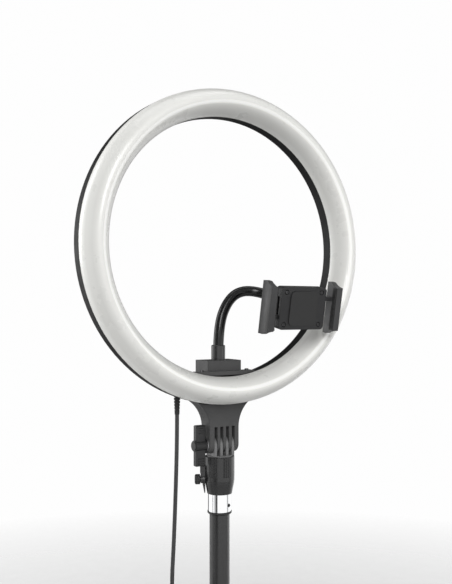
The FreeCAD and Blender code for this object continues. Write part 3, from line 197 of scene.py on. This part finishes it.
def fold(first, last, top, layer, next_layer, bulge=0.0):
    """The turn between two passes: over the top from left to right, or under the bottom from
    right to left. The radius, the layer and a bulge change smoothly along it."""
    points = []
    for step in range(1, FOLD_STEPS):
        share = step / FOLD_STEPS
        radius = first + (last - first) * share + bulge * math.sin(math.pi * share)
        angle = math.pi * (1 - share) if top else -math.pi * share
        x = radius * math.cos(angle)
        z = (FOLD_HEIGHT if top else -FOLD_HEIGHT) + radius * math.sin(angle)
        points.append((x, layer + (next_layer - layer) * share, z))
    return points


def hank():
    """Six turns in three layers. Each layer winds outwards or inwards, then steps to the next."""
    route = WAY_IN + strand(INNER, 1, -LAYER, True)[3:]
    turns = [
        (INNER, -LAYER, OUTER, -LAYER, 0.0),
        (OUTER, -LAYER, OUTER, 0.0, BULGE),
        (OUTER, 0.0, INNER, 0.0, 0.0),
        (INNER, 0.0, INNER, LAYER, -BULGE),
        (INNER, LAYER, OUTER, LAYER, 0.0),
    ]
    for ring, layer, next_ring, next_layer, bulge in turns:
        route += fold(ring[1], ring[1], False, layer, layer)
        route += strand(ring, -1, layer, False)
        route += fold(ring[1], next_ring[1], True, layer, next_layer, bulge)
        route += strand(next_ring, 1, next_layer, True)
    route += fold(OUTER[1], OUTER[1], False, LAYER, LAYER)
    route += strand(OUTER, -1, LAYER, False)[:5]
    route += WAY_OUT
    return [(CONTROL_X + x, CORD_Y + y, HANK_MIDDLE + z) for x, y, z in route]


def make_drop():
    """The lead's straight drop from the ring to the controller."""
    drop = to_mesh(smooth_line("lead_drop", scaled(DROP), CORD_RADIUS, steps=16))
    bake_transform(drop)
    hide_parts("cord_drop")
    dress(drop, cord_skin())
    line_points(scaled(DROP))


def make_folded_lead():
    """The rest of the lead below the controller, folded and strapped, with its plug."""
    route = scaled(LINK + hank() + TAIL)
    folded = to_mesh(smooth_line("lead_folded", route, CORD_RADIUS, steps=6, sides=4))
    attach(folded, "yoke")
    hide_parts("cord_link", "cord_hank", "cord_tail")
    dress(folded, cord_skin())
    strap = make_strap()
    line_points(route, steps=6)


STRAP_HALF_X, STRAP_HALF_Y = 9.1 * MM, 7.0 * MM
STRAP_WIDTH, STRAP_THICKNESS = 10 * MM, 0.9 * MM
STRAP_STEPS = 92
STRAP_START, STRAP_LENGTH = 0.2, 2.45
OVERLAP_START, OVERLAP_RISE = 1.95, 0.2
OVERLAP_LIFT = STRAP_THICKNESS * 1.15
SQUARENESS = 0.72


def squared(value):
    """A circle's cosine or sine, pushed outwards for a rounded square."""
    return math.copysign(abs(value) ** SQUARENESS, value)


def strap_row(shape, centre, half_turns):
    """The four corners of the strap's section, at an angle round the hank in half turns. Where
    the strap goes round again it lifts over its own start."""
    angle = math.pi * half_turns
    rise = (angle / math.pi - OVERLAP_START) / OVERLAP_RISE
    lift = OVERLAP_LIFT * max(0.0, min(1.0, rise))
    across = Vector((squared(math.cos(angle)), squared(math.sin(angle)), 0))
    row = []
    for depth in (0, STRAP_THICKNESS):
        for side in (-1, 1):
            x = across.x * (STRAP_HALF_X + lift + depth)
            y = across.y * (STRAP_HALF_Y + lift + depth)
            place = Vector((x, y, side * STRAP_WIDTH / 2))
            row.append(shape.verts.new(centre + place))
    return row


def make_strap():
    """The strap round the hank's waist, with its free end lying over its start."""
    centre = Vector((CONTROL_X * MM, CORD_Y * MM, HANK_MIDDLE * MM))
    mesh = bpy.data.meshes.new("lead_strap")
    shape = bmesh.new()
    rows = [
        strap_row(shape, centre, STRAP_START + STRAP_LENGTH * i / STRAP_STEPS)
        for i in range(STRAP_STEPS + 1)
    ]
    for a, b in zip(rows, rows[1:]):
        for i, j in ((0, 1), (1, 3), (3, 2), (2, 0)):
            shape.faces.new((a[i], a[j], b[j], b[i]))
    shape.faces.new((rows[0][0], rows[0][1], rows[0][3], rows[0][2]))
    shape.faces.new((rows[-1][0], rows[-1][2], rows[-1][3], rows[-1][1]))
    bmesh.ops.recalc_face_normals(shape, faces=shape.faces)
    shape.to_mesh(mesh)
    shape.free()
    strap = link(bpy.data.objects.new("lead_strap", mesh))
    soften(strap, 0.25 * MM, 2)
    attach(strap, "yoke")
    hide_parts("cord_tie")
    dress(strap, woven_strap())
    return strap


# ---------------------------------------------------------------- gooseneck

GOOSENECK_RADIUS = 5.27 * MM
GOOSENECK = [
    (0, 2.7, 240.8),
    (0, 2.7, 269.6),
    (12, 7.1, 294.9),
    (27.9, 6.1, 307.9),
    (48.7, -3.7, 305.9),
    (54.9, -20.2, 299.4),
]


def make_gooseneck():
    """The bendable arm, one smooth tube from cup to cup."""
    line = smooth_line("gooseneck", scaled(GOOSENECK), GOOSENECK_RADIUS, steps=40, sides=10)
    tube = to_mesh(line)
    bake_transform(tube)
    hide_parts("gooseneck_lower", "gooseneck_upper")
    dress(tube, gooseneck_skin())


# ---------------------------------------------------------------- materials


class Nodes:
    """A shader node tree under construction."""

    def __init__(self, tree):
        self.tree = tree
        self.tree.nodes.clear()

    def add(self, kind, **settings):
        node = self.tree.nodes.new("ShaderNode" + kind)
        for name, value in settings.items():
            setattr(node, name, value)
        return node

    def join(self, source, target):
        self.tree.links.new(source, target)

    def colours(self, value, *stops):
        """A colour ramp: each stop is a position and a colour."""
        node = self.add("ValToRGB")
        ramp = node.color_ramp
        while len(ramp.elements) < len(stops):
            ramp.elements.new(0.5)
        for element, (position, colour) in zip(ramp.elements, stops):
            element.position = position
            element.color = (*colour, 1)
        self.join(value, node.inputs["Fac"])
        return node.outputs["Color"]


class Shader(Nodes):
    """A node material under construction: its Principled shader and its object coordinates."""

    def __init__(self, name):
        self.material = bpy.data.materials.new(name)
        self.material.use_nodes = True
        super().__init__(self.material.node_tree)
        output = self.add("OutputMaterial")
        self.surface = self.add("BsdfPrincipled")
        self.join(self.surface.outputs["BSDF"], output.inputs["Surface"])
        self.place = self.add("TexCoord").outputs["Object"]

    def fix(self, **values):
        """Sets sockets of the shader that are the same all over."""
        for name, value in values.items():
            self.surface.inputs[name.replace("_", " ")].default_value = value

    def stretched(self, x, y, z):
        node = self.add("Mapping")
        node.inputs["Scale"].default_value = (x, y, z)
        self.join(self.place, node.inputs["Vector"])
        return node.outputs["Vector"]

    def noise(self, scale, detail=2.0, rough=0.5, place=None):
        node = self.add("TexNoise")
        node.inputs["Scale"].default_value = scale
        node.inputs["Detail"].default_value = detail
        node.inputs["Roughness"].default_value = rough
        self.join(place or self.place, node.inputs["Vector"])
        return node.outputs["Fac"]

    def wave(self, scale, direction="Z", distortion=0.0, place=None):
        node = self.add("TexWave", bands_direction=direction)
        node.inputs["Scale"].default_value = scale
        node.inputs["Distortion"].default_value = distortion
        self.join(place or self.place, node.inputs["Vector"])
        return node.outputs["Fac"]

    def cells(self, scale):
        node = self.add("TexVoronoi")
        node.inputs["Scale"].default_value = scale
        self.join(self.place, node.inputs["Vector"])
        return node.outputs["Distance"]

    def between(self, value, low, high, start=0.0, stop=1.0):
        """Maps a value from its range start to stop onto low to high."""
        node = self.add("MapRange")
        node.inputs["From Min"].default_value = start
        node.inputs["From Max"].default_value = stop
        node.inputs["To Min"].default_value = low
        node.inputs["To Max"].default_value = high
        self.join(value, node.inputs["Value"])
        return node.outputs["Result"]

    def off_axis(self, centre):
        """The distance from a line along Y through the centre."""
        moved = self.add("VectorMath", operation="SUBTRACT")
        moved.inputs[1].default_value = centre
        flat = self.add("VectorMath", operation="MULTIPLY")
        flat.inputs[1].default_value = (1, 0, 1)
        length = self.add("VectorMath", operation="LENGTH")
        self.join(self.place, moved.inputs[0])
        self.join(moved.outputs["Vector"], flat.inputs[0])
        self.join(flat.outputs["Vector"], length.inputs[0])
        return length.outputs["Value"]

    def combine(self, operation, a, b):
        node = self.add("Math", operation=operation)
        for socket, value in zip(node.inputs, (a, b)):
            if isinstance(value, (int, float)):
                socket.default_value = value
            else:
                self.join(value, socket)
        return node.outputs["Value"]

    def bump(self, height, depth, over=None):
        """Relief of the given depth in metres, laid over another normal."""
        node = self.add("Bump")
        node.inputs["Distance"].default_value = depth
        node.inputs["Strength"].default_value = 1.0
        self.join(height, node.inputs["Height"])
        if over:
            self.join(over, node.inputs["Normal"])
        return node.outputs["Normal"]

    def rounded_edges(self, radius):
        """Normals that turn smoothly over sharp edges, as moulded or broken edges do."""
        node = self.add("Bevel", samples=4)
        node.inputs["Radius"].default_value = radius
        return node.outputs["Normal"]

    def finish(self, colour=None, roughness=None, normal=None):
        if colour:
            self.join(colour, self.surface.inputs["Base Color"])
        if roughness:
            self.join(roughness, self.surface.inputs["Roughness"])
        if normal:
            self.join(normal, self.surface.inputs["Normal"])
        return self.material


def once(make):
    """Makes a material the first time it is asked for."""
    made = {}

    def get():
        if "material" not in made:
            made["material"] = make()
        return made["material"]

    return get


def greys(stops, blue=1.0):
    """Ramp stops in grey, with their blue turned down for a warmer tone."""
    return [(position, (value, value, value * blue)) for position, value in stops]


def shade(colour, factor):
    return tuple(min(channel * factor, 1.0) for channel in colour)


def moulded_plastic(name, colour, roughness, grain=0.03 * MM, edge=0.4 * MM, gloss=0.3):
    """Injection-moulded plastic: a spark-eroded grain, slow changes of tone and faint handling."""
    s = Shader(name)
    tone = s.noise(22, 3)
    grain_height = s.noise(2400, 2, 0.6)
    handling = s.noise(95, 4, 0.62)
    colour_out = s.colours(tone, (0.25, shade(colour, 0.82)), (0.75, shade(colour, 1.2)))
    rough = s.between(handling, roughness - 0.09, roughness + 0.09, 0.3, 0.7)
    normal = s.bump(grain_height, grain, s.rounded_edges(edge))
    s.fix(Specular_IOR_Level=gloss)
    return s.finish(colour_out, rough, normal)


@once
def housing_black():
    return moulded_plastic("housing_black", (0.008, 0.008, 0.0082), 0.42, 0.02 * MM, gloss=0.12)


@once
def neck_plastic():
    return moulded_plastic("neck_plastic", (0.064, 0.064, 0.0645), 0.46, 0.03 * MM, 0.5 * MM)


@once
def socket_plastic():
    colour = (0.012, 0.012, 0.0125)
    return moulded_plastic("socket_plastic", colour, 0.27, 0.008 * MM, 0.3 * MM, 0.55)


# The bracket's plastic is paler than the neck's plastic: painted light standing in for the light
# caught on the tines.
@once
def bracket_plastic():
    return moulded_plastic("bracket_plastic", (0.15, 0.15, 0.151), 0.34, 0.02 * MM, 0.3 * MM, 0.6)


@once
def knob_plastic():
    return moulded_plastic("knob_plastic", (0.022, 0.022, 0.0225), 0.36, 0.02 * MM, 0.4 * MM)


@once
def holder_plastic():
    return moulded_plastic("holder_plastic", (0.02, 0.02, 0.021), 0.45, 0.03 * MM, 0.5 * MM)


@once
def jaw_plastic():
    return moulded_plastic("jaw_plastic", (0.048, 0.048, 0.049), 0.4, 0.02 * MM, 0.6 * MM)


@once
def nylon():
    return moulded_plastic("nylon", (0.62, 0.6, 0.54), 0.5, 0.02 * MM, 0.2 * MM)


# The diffuser's greys and its emitted crest highlight, by share of the way from its inner rim to
# its outer rim. The white is the acrylic's own; the darker greys are painted shade, and the palest
# band and the emission are a painted highlight.
RING_CENTRE = (0, 0, 0.35)
INNER_RIM, OUTER_RIM = 0.128, 0.155
WARMTH = 0.965
PAINTED_SHADE_GREYS = [
    (0.00, 0.74),
    (0.05, 0.64),
    (0.12, 0.68),
    (0.24, 0.80),
    (0.34, 0.90),
    (0.41, 0.92),
    (0.58, 0.88),
    (0.78, 0.72),
    (0.92, 0.74),
    (0.98, 0.90),
]
# Emission along the crest: a painted highlight.
CREST_PAINTED_HIGHLIGHT = [(0.32, 0.0), (0.38, 0.2), (0.42, 0.2), (0.47, 0.0)]


@once
def frosted_white():
    """Milky acrylic: palest along its crest, which is a painted highlight helped by emission, and
    greyer down its inner slope and in a band near its outer rim, which is painted shade. The skin
    is thin, smooth and faintly smudged."""
    s = Shader("frosted_white")
    across = s.between(s.off_axis(RING_CENTRE), 0.0, 1.0, INNER_RIM, OUTER_RIM)
    # Base colour: the acrylic's white, with painted shade on its slopes and near its outer rim and
    # a painted highlight on its crest.
    colour = s.colours(across, *greys(PAINTED_SHADE_GREYS, WARMTH))
    s.join(colour, s.surface.inputs["Base Color"])
    # Emission along the crest is a painted highlight.
    painted_highlight = s.colours(across, *greys(CREST_PAINTED_HIGHLIGHT))
    s.join(painted_highlight, s.surface.inputs["Emission Color"])
    frost = s.noise(3800, 2)
    smudge = s.noise(40, 4, 0.6)
    rough = s.between(smudge, 0.24, 0.36, 0.3, 0.7)
    normal = s.bump(frost, 0.004 * MM)
    s.fix(
        Emission_Strength=1.0,
        Subsurface_Weight=0.15,
        Subsurface_Scale=0.002,
        Subsurface_Radius=(1.0, 1.0, 1.0),
        Coat_Weight=0.2,
        Coat_Roughness=0.12,
    )
    return s.finish(None, rough, normal)


@once
def chrome():
    """Polished plating with hair-fine scratches round the tube and a faint haze."""
    s = Shader("chrome")
    scratches = s.noise(900, 3, 0.7, s.stretched(0.05, 0.05, 4))
    haze = s.noise(70, 3)
    colour = s.colours(haze, (0.3, (0.72, 0.725, 0.735)), (0.7, (0.8, 0.805, 0.81)))
    rough = s.between(scratches, 0.05, 0.16, 0.35, 0.75)
    normal = s.bump(scratches, 0.002 * MM, s.rounded_edges(0.3 * MM))
    s.fix(Metallic=1.0)
    return s.finish(colour, rough, normal)


@once
def pole_paint():
    """Powder coat: smooth black with orange-peel ripples and rubbed streaks along the tube."""
    s = Shader("pole_paint")
    peel = s.noise(700, 2)
    rubs = s.noise(120, 4, 0.6, s.stretched(2.5, 2.5, 0.25))
    colour = s.colours(rubs, (0.3, (0.007, 0.007, 0.0075)), (0.75, (0.014, 0.014, 0.0145)))
    rough = s.between(rubs, 0.24, 0.42, 0.3, 0.7)
    normal = s.bump(peel, 0.012 * MM, s.rounded_edges(0.3 * MM))
    s.fix(Coat_Weight=0.25, Coat_Roughness=0.2)
    return s.finish(colour, rough, normal)


@once
def gooseneck_skin():
    """Stretched rubber sleeve: satin black with faint ripples and dust."""
    s = Shader("gooseneck_skin")
    ripples = s.noise(420, 2, 0.5, s.stretched(1, 1, 1.6))
    dust = s.noise(90, 4, 0.6)
    colour = s.colours(dust, (0.35, (0.003, 0.003, 0.0031)), (0.8, (0.009, 0.009, 0.0092)))
    rough = s.between(dust, 0.16, 0.26, 0.3, 0.75)
    normal = s.bump(ripples, 0.01 * MM)
    s.fix(Specular_IOR_Level=0.35)
    return s.finish(colour, rough, normal)


@once
def cord_skin():
    """Extruded PVC: smooth, slightly oily satin with faint lengthwise die lines and lint."""
    s = Shader("cord_skin")
    lint = s.noise(520, 4, 0.7)
    tone = s.noise(60, 3)
    mixed = s.combine("MULTIPLY", lint, tone)
    colour = s.colours(mixed, (0.18, (0.018, 0.018, 0.0185)), (0.45, (0.042, 0.042, 0.043)))
    rough = s.between(tone, 0.34, 0.5, 0.3, 0.7)
    normal = s.bump(lint, 0.012 * MM)
    return s.finish(colour, rough, normal)


@once
def soft_rubber():
    """Matt moulded rubber with a fine dry grain."""
    s = Shader("soft_rubber")
    grain = s.cells(1700)
    dust = s.noise(130, 5, 0.65)
    colour = s.colours(dust, (0.3, (0.011, 0.011, 0.0112)), (0.8, (0.026, 0.026, 0.0262)))
    rough = s.between(dust, 0.6, 0.78, 0.3, 0.7)
    normal = s.bump(grain, 0.03 * MM, s.rounded_edges(0.3 * MM))
    return s.finish(colour, rough, normal)


@once
def key_grey():
    """Silicone keys: pale grey, soft, with a slightly worn middle."""
    s = Shader("key_grey")
    wear = s.noise(260, 4, 0.6)
    grain = s.noise(2600, 2)
    colour = s.colours(wear, (0.3, (0.17, 0.172, 0.175)), (0.75, (0.23, 0.232, 0.235)))
    rough = s.between(wear, 0.5, 0.68, 0.3, 0.7)
    normal = s.bump(grain, 0.02 * MM, s.rounded_edges(0.4 * MM))
    return s.finish(colour, rough, normal)


def machined_steel(name, colour, low, high):
    """Plated or polished steel with fine turning marks."""
    s = Shader(name)
    marks = s.noise(2200, 3, 0.7, s.stretched(1, 1, 0.2))
    tarnish = s.noise(180, 4)
    colour_out = s.colours(tarnish, (0.3, shade(colour, 0.78)), (0.75, colour))
    rough = s.between(marks, low, high, 0.3, 0.7)
    normal = s.bump(marks, 0.006 * MM, s.rounded_edges(0.15 * MM))
    s.fix(Metallic=1.0)
    return s.finish(colour_out, rough, normal)


@once
def bright_steel():
    return machined_steel("bright_steel", (0.56, 0.56, 0.57), 0.24, 0.42)


@once
def dark_screw():
    return machined_steel("dark_screw", (0.09, 0.09, 0.092), 0.3, 0.5)


@once
def ball_steel():
    return machined_steel("ball_steel", (0.6, 0.6, 0.61), 0.1, 0.2)


@once
def plug_metal():
    return machined_steel("plug_metal", (0.66, 0.66, 0.67), 0.16, 0.3)


@once
def board_white():
    """White solder mask over faint copper tracks."""
    s = Shader("board_white")
    tracks = s.cells(210)
    colour = s.colours(tracks, (0.05, (0.62, 0.62, 0.58)), (0.3, (0.76, 0.76, 0.73)))
    normal = s.bump(tracks, 0.03 * MM)
    rough = s.between(s.noise(400), 0.3, 0.45)
    return s.finish(colour, rough, normal)


@once
def board_green():
    """Green solder mask over copper tracks."""
    s = Shader("board_green")
    tracks = s.cells(600)
    colour = s.colours(tracks, (0.05, (0.02, 0.2, 0.08)), (0.3, (0.008, 0.075, 0.03)))
    normal = s.bump(tracks, 0.04 * MM)
    rough = s.between(s.noise(400), 0.25, 0.4)
    return s.finish(colour, rough, normal)


@once
def led_package():
    """Small packages: a yellow phosphor lens in a white body."""
    s = Shader("led_package")
    spots = s.noise(1500, 2)
    colour = s.colours(spots, (0.3, (0.8, 0.66, 0.2)), (0.7, (0.9, 0.82, 0.5)))
    normal = s.bump(spots, 0.02 * MM)
    rough = s.between(spots, 0.25, 0.4)
    return s.finish(colour, rough, normal)


@once
def woven_strap():
    """Narrow woven tape: crossing threads with a little fuzz."""
    s = Shader("woven_strap")
    up = s.wave(420, "Z")
    along = s.wave(420, "DIAGONAL", 0.3, s.stretched(1, 1, 0))
    weave = s.combine("MULTIPLY", up, along)
    fuzz = s.noise(3000, 3)
    colour = s.colours(weave, (0.1, (0.008, 0.008, 0.009)), (0.7, (0.035, 0.035, 0.037)))
    rough = s.between(fuzz, 0.75, 0.95)
    height = s.combine("ADD", weave, s.combine("MULTIPLY", fuzz, 0.4))
    normal = s.bump(height, 0.2 * MM)
    s.fix(Sheen_Weight=0.35, Sheen_Roughness=0.4)
    return s.finish(colour, rough, normal)


def dress(obj, material):
    """Gives a piece or a CAD node one material all over."""
    if not obj.data.materials:
        obj.data.materials.append(material)
    for i in range(len(obj.data.materials)):
        obj.data.materials[i] = material
    for slot in obj.material_slots:
        slot.material = material


def soften(obj, width, segments=2):
    bevel = obj.modifiers.new("soft_edges", "BEVEL")
    bevel.width = width
    bevel.segments = segments
    bevel.limit_method = "ANGLE"
    for face in obj.data.polygons:
        face.use_smooth = True


FINISHES = {
    housing_black: ("rear_housing", "cord_boss", "control_front_shell", "control_back_shell"),
    frosted_white: ("diffuser",),
    board_white: ("led_board",),
    led_package: ("led_chips",),
    neck_plastic: ("neck_front_cover", "neck_rear_cover", "holder_base"),
    bracket_plastic: ("tilt_bracket",),
    socket_plastic: ("fluted_socket",),
    knob_plastic: ("thumb_screw", "tilt_knob", "rim_washer"),
    holder_plastic: ("lock_nut", "holder_back_shell", "holder_front_shell"),
    jaw_plastic: ("left_jaw", "right_jaw"),
    chrome: ("chrome_sleeve",),
    pole_paint: ("pole", "lower_ferrule", "upper_ferrule"),
    soft_rubber: (
        "strain_relief",
        "holder_pad",
        "left_jaw_pad",
        "right_jaw_pad",
        "control_reliefs",
        "plug_grip",
    ),
    bright_steel: ("board_screws", "tilt_bolt", "tilt_washer", "return_spring"),
    dark_screw: ("grub_screw", "neck_screws", "holder_screws", "base_screws"),
    ball_steel: ("ball_stud",),
    nylon: ("ball_seat", "pinion", "board_connector", "plug_tongue"),
    key_grey: ("power_button", "brighter_button", "dimmer_button", "colour_button"),
    board_green: ("control_board",),
    plug_metal: ("plug_shell",),
}


def dress_nodes():
    for make, names in FINISHES.items():
        for name in names:
            dress(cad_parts[name], make())


# ---------------------------------------------------------------- stage

FLOOR_RADIUS = 1.7
FLOOR_DROP = 0.12
FADE_START, FADE_END = 0.35, 1.6


def make_floor():
    """A round pale floor below the light, which fades out before its edge."""
    s = Shader("pale_floor")
    distance = s.add("VectorMath", operation="LENGTH")
    s.join(s.place, distance.inputs[0])
    speckle = s.noise(30, 3)
    colour = s.colours(speckle, (0.3, (0.80, 0.80, 0.80)), (0.7, (0.84, 0.84, 0.84)))
    fade = s.between(distance.outputs["Value"], 1.0, 0.0, FADE_START, FADE_END)
    s.join(fade, s.surface.inputs["Alpha"])
    rough = s.between(speckle, 0.6, 0.75)
    material = s.finish(colour, rough)
    bpy.ops.mesh.primitive_circle_add(vertices=96, radius=FLOOR_RADIUS, fill_type="NGON")
    floor = bpy.context.object
    floor.name = "floor"
    floor.location = (0, 0, CAD_BOX[0][2] - FLOOR_DROP)
    dress(floor, material)


# Brightness round the horizon, by share of a turn from the -X direction, and by height from
# straight down to straight up: first as matt things are lit by it, then as gloss mirrors it.
LIT_BY = [
    (0.0, 0.9),
    (0.10, 0.8),
    (0.16, 0.12),
    (0.21, 0.1),
    (0.26, 0.75),
    (0.36, 0.3),
    (0.50, 0.85),
    (0.62, 0.3),
    (0.72, 0.7),
    (0.80, 0.16),
    (0.86, 0.14),
    (0.93, 0.9),
]
LIT_BY_HEIGHT = [(0.0, 1.0), (0.45, 0.95), (0.7, 0.9), (1.0, 1.0)]
LIT_BY_STRENGTH = 0.75
MIRRORED = [
    (0.0, 0.8),
    (0.040, 0.45),
    (0.068, 0.05),
    (0.100, 0.05),
    (0.115, 1.0),
    (0.370, 1.0),
    (0.395, 0.4),
    (0.420, 0.4),
    (0.440, 1.0),
    (0.600, 1.0),
    (0.660, 0.05),
    (0.760, 0.05),
    (0.810, 1.0),
    (0.960, 1.0),
]
MIRRORED_HEIGHT = [(0.22, 0.3), (0.34, 1.0), (0.56, 1.0), (0.70, 0.35)]
MIRRORED_STRENGTH = 1.35
CAMERA_WHITE = (0.99, 0.99, 0.99, 1)


class Sky(Nodes):
    """The world's nodes: directions as a share of a turn and a height, and the kind of ray."""

    def __init__(self, tree):
        super().__init__(tree)
        self.rays = self.add("LightPath")
        place = self.add("TexCoord").outputs["Generated"]
        turn = self.add("TexGradient", gradient_type="RADIAL")
        self.join(place, turn.inputs["Vector"])
        split = self.add("SeparateXYZ")
        self.join(place, split.inputs["Vector"])
        height = self.add("MapRange")
        height.inputs["From Min"].default_value = -1
        self.join(split.outputs["Z"], height.inputs["Value"])
        self.around = turn.outputs["Fac"]
        self.height = height.outputs["Result"]

    def backdrop(self, zones, heights, strength):
        """A studio whose brightness is its zones round the horizon times its heights."""
        product = self.add("MixRGB", blend_type="MULTIPLY")
        product.inputs["Fac"].default_value = 1
        self.join(self.colours(self.around, *greys(zones)), product.inputs["Color1"])
        self.join(self.colours(self.height, *greys(heights)), product.inputs["Color2"])
        background = self.add("Background")
        background.inputs["Strength"].default_value = strength
        self.join(product.outputs["Color"], background.inputs["Color"])
        return background.outputs["Background"]

    def choose(self, ray, otherwise, instead):
        """One background for a kind of ray and the other for the rest."""
        mix = self.add("MixShader")
        self.join(self.rays.outputs[ray], mix.inputs["Fac"])
        self.join(otherwise, mix.inputs[1])
        self.join(instead, mix.inputs[2])
        return mix.outputs["Shader"]


def make_world():
    """White to the camera. Everything else sees a softly lit studio with brighter and darker
    upright zones, which curved metal and gloss need."""
    world = bpy.data.worlds.new("studio")
    bpy.context.scene.world = world
    world.use_nodes = True
    sky = Sky(world.node_tree)
    studio = sky.backdrop(LIT_BY, LIT_BY_HEIGHT, LIT_BY_STRENGTH)
    mirrored = sky.backdrop(MIRRORED, MIRRORED_HEIGHT, MIRRORED_STRENGTH)
    seen = sky.add("Background")
    seen.inputs["Color"].default_value = CAMERA_WHITE
    matt_or_gloss = sky.choose("Is Glossy Ray", studio, mirrored)
    everything = sky.choose("Is Camera Ray", matt_or_gloss, seen.outputs["Background"])
    output = sky.add("OutputWorld")
    sky.join(everything, output.inputs["Surface"])


def area_light(name, place, target, size, power):
    light = bpy.data.lights.new(name, "AREA")
    light.shape = "RECTANGLE"
    light.size, light.size_y = size
    light.energy = power
    obj = link(bpy.data.objects.new(name, light))
    obj.location = place
    heading = Vector(target) - Vector(place)
    obj.rotation_euler = heading.to_track_quat("-Z", "Y").to_euler()


def make_lights():
    middle = (0, 0, 0.3)
    area_light("key", (-1.1, -1.7, 1.5), middle, (0.9, 1.3), 30)
    area_light("fill", (1.7, -1.2, 0.7), middle, (0.6, 1.5), 6)
    area_light("top", (0.1, 0.3, 2.0), middle, (1.4, 0.9), 5)
    area_light("back", (-1.3, 1.4, 0.9), middle, (0.4, 1.6), 10)


make_camera()
make_drop()
make_folded_lead()
make_gooseneck()
dress_nodes()
make_floor()
make_world()
make_lights()
bpy.context.scene.view_settings.view_transform = "Standard"
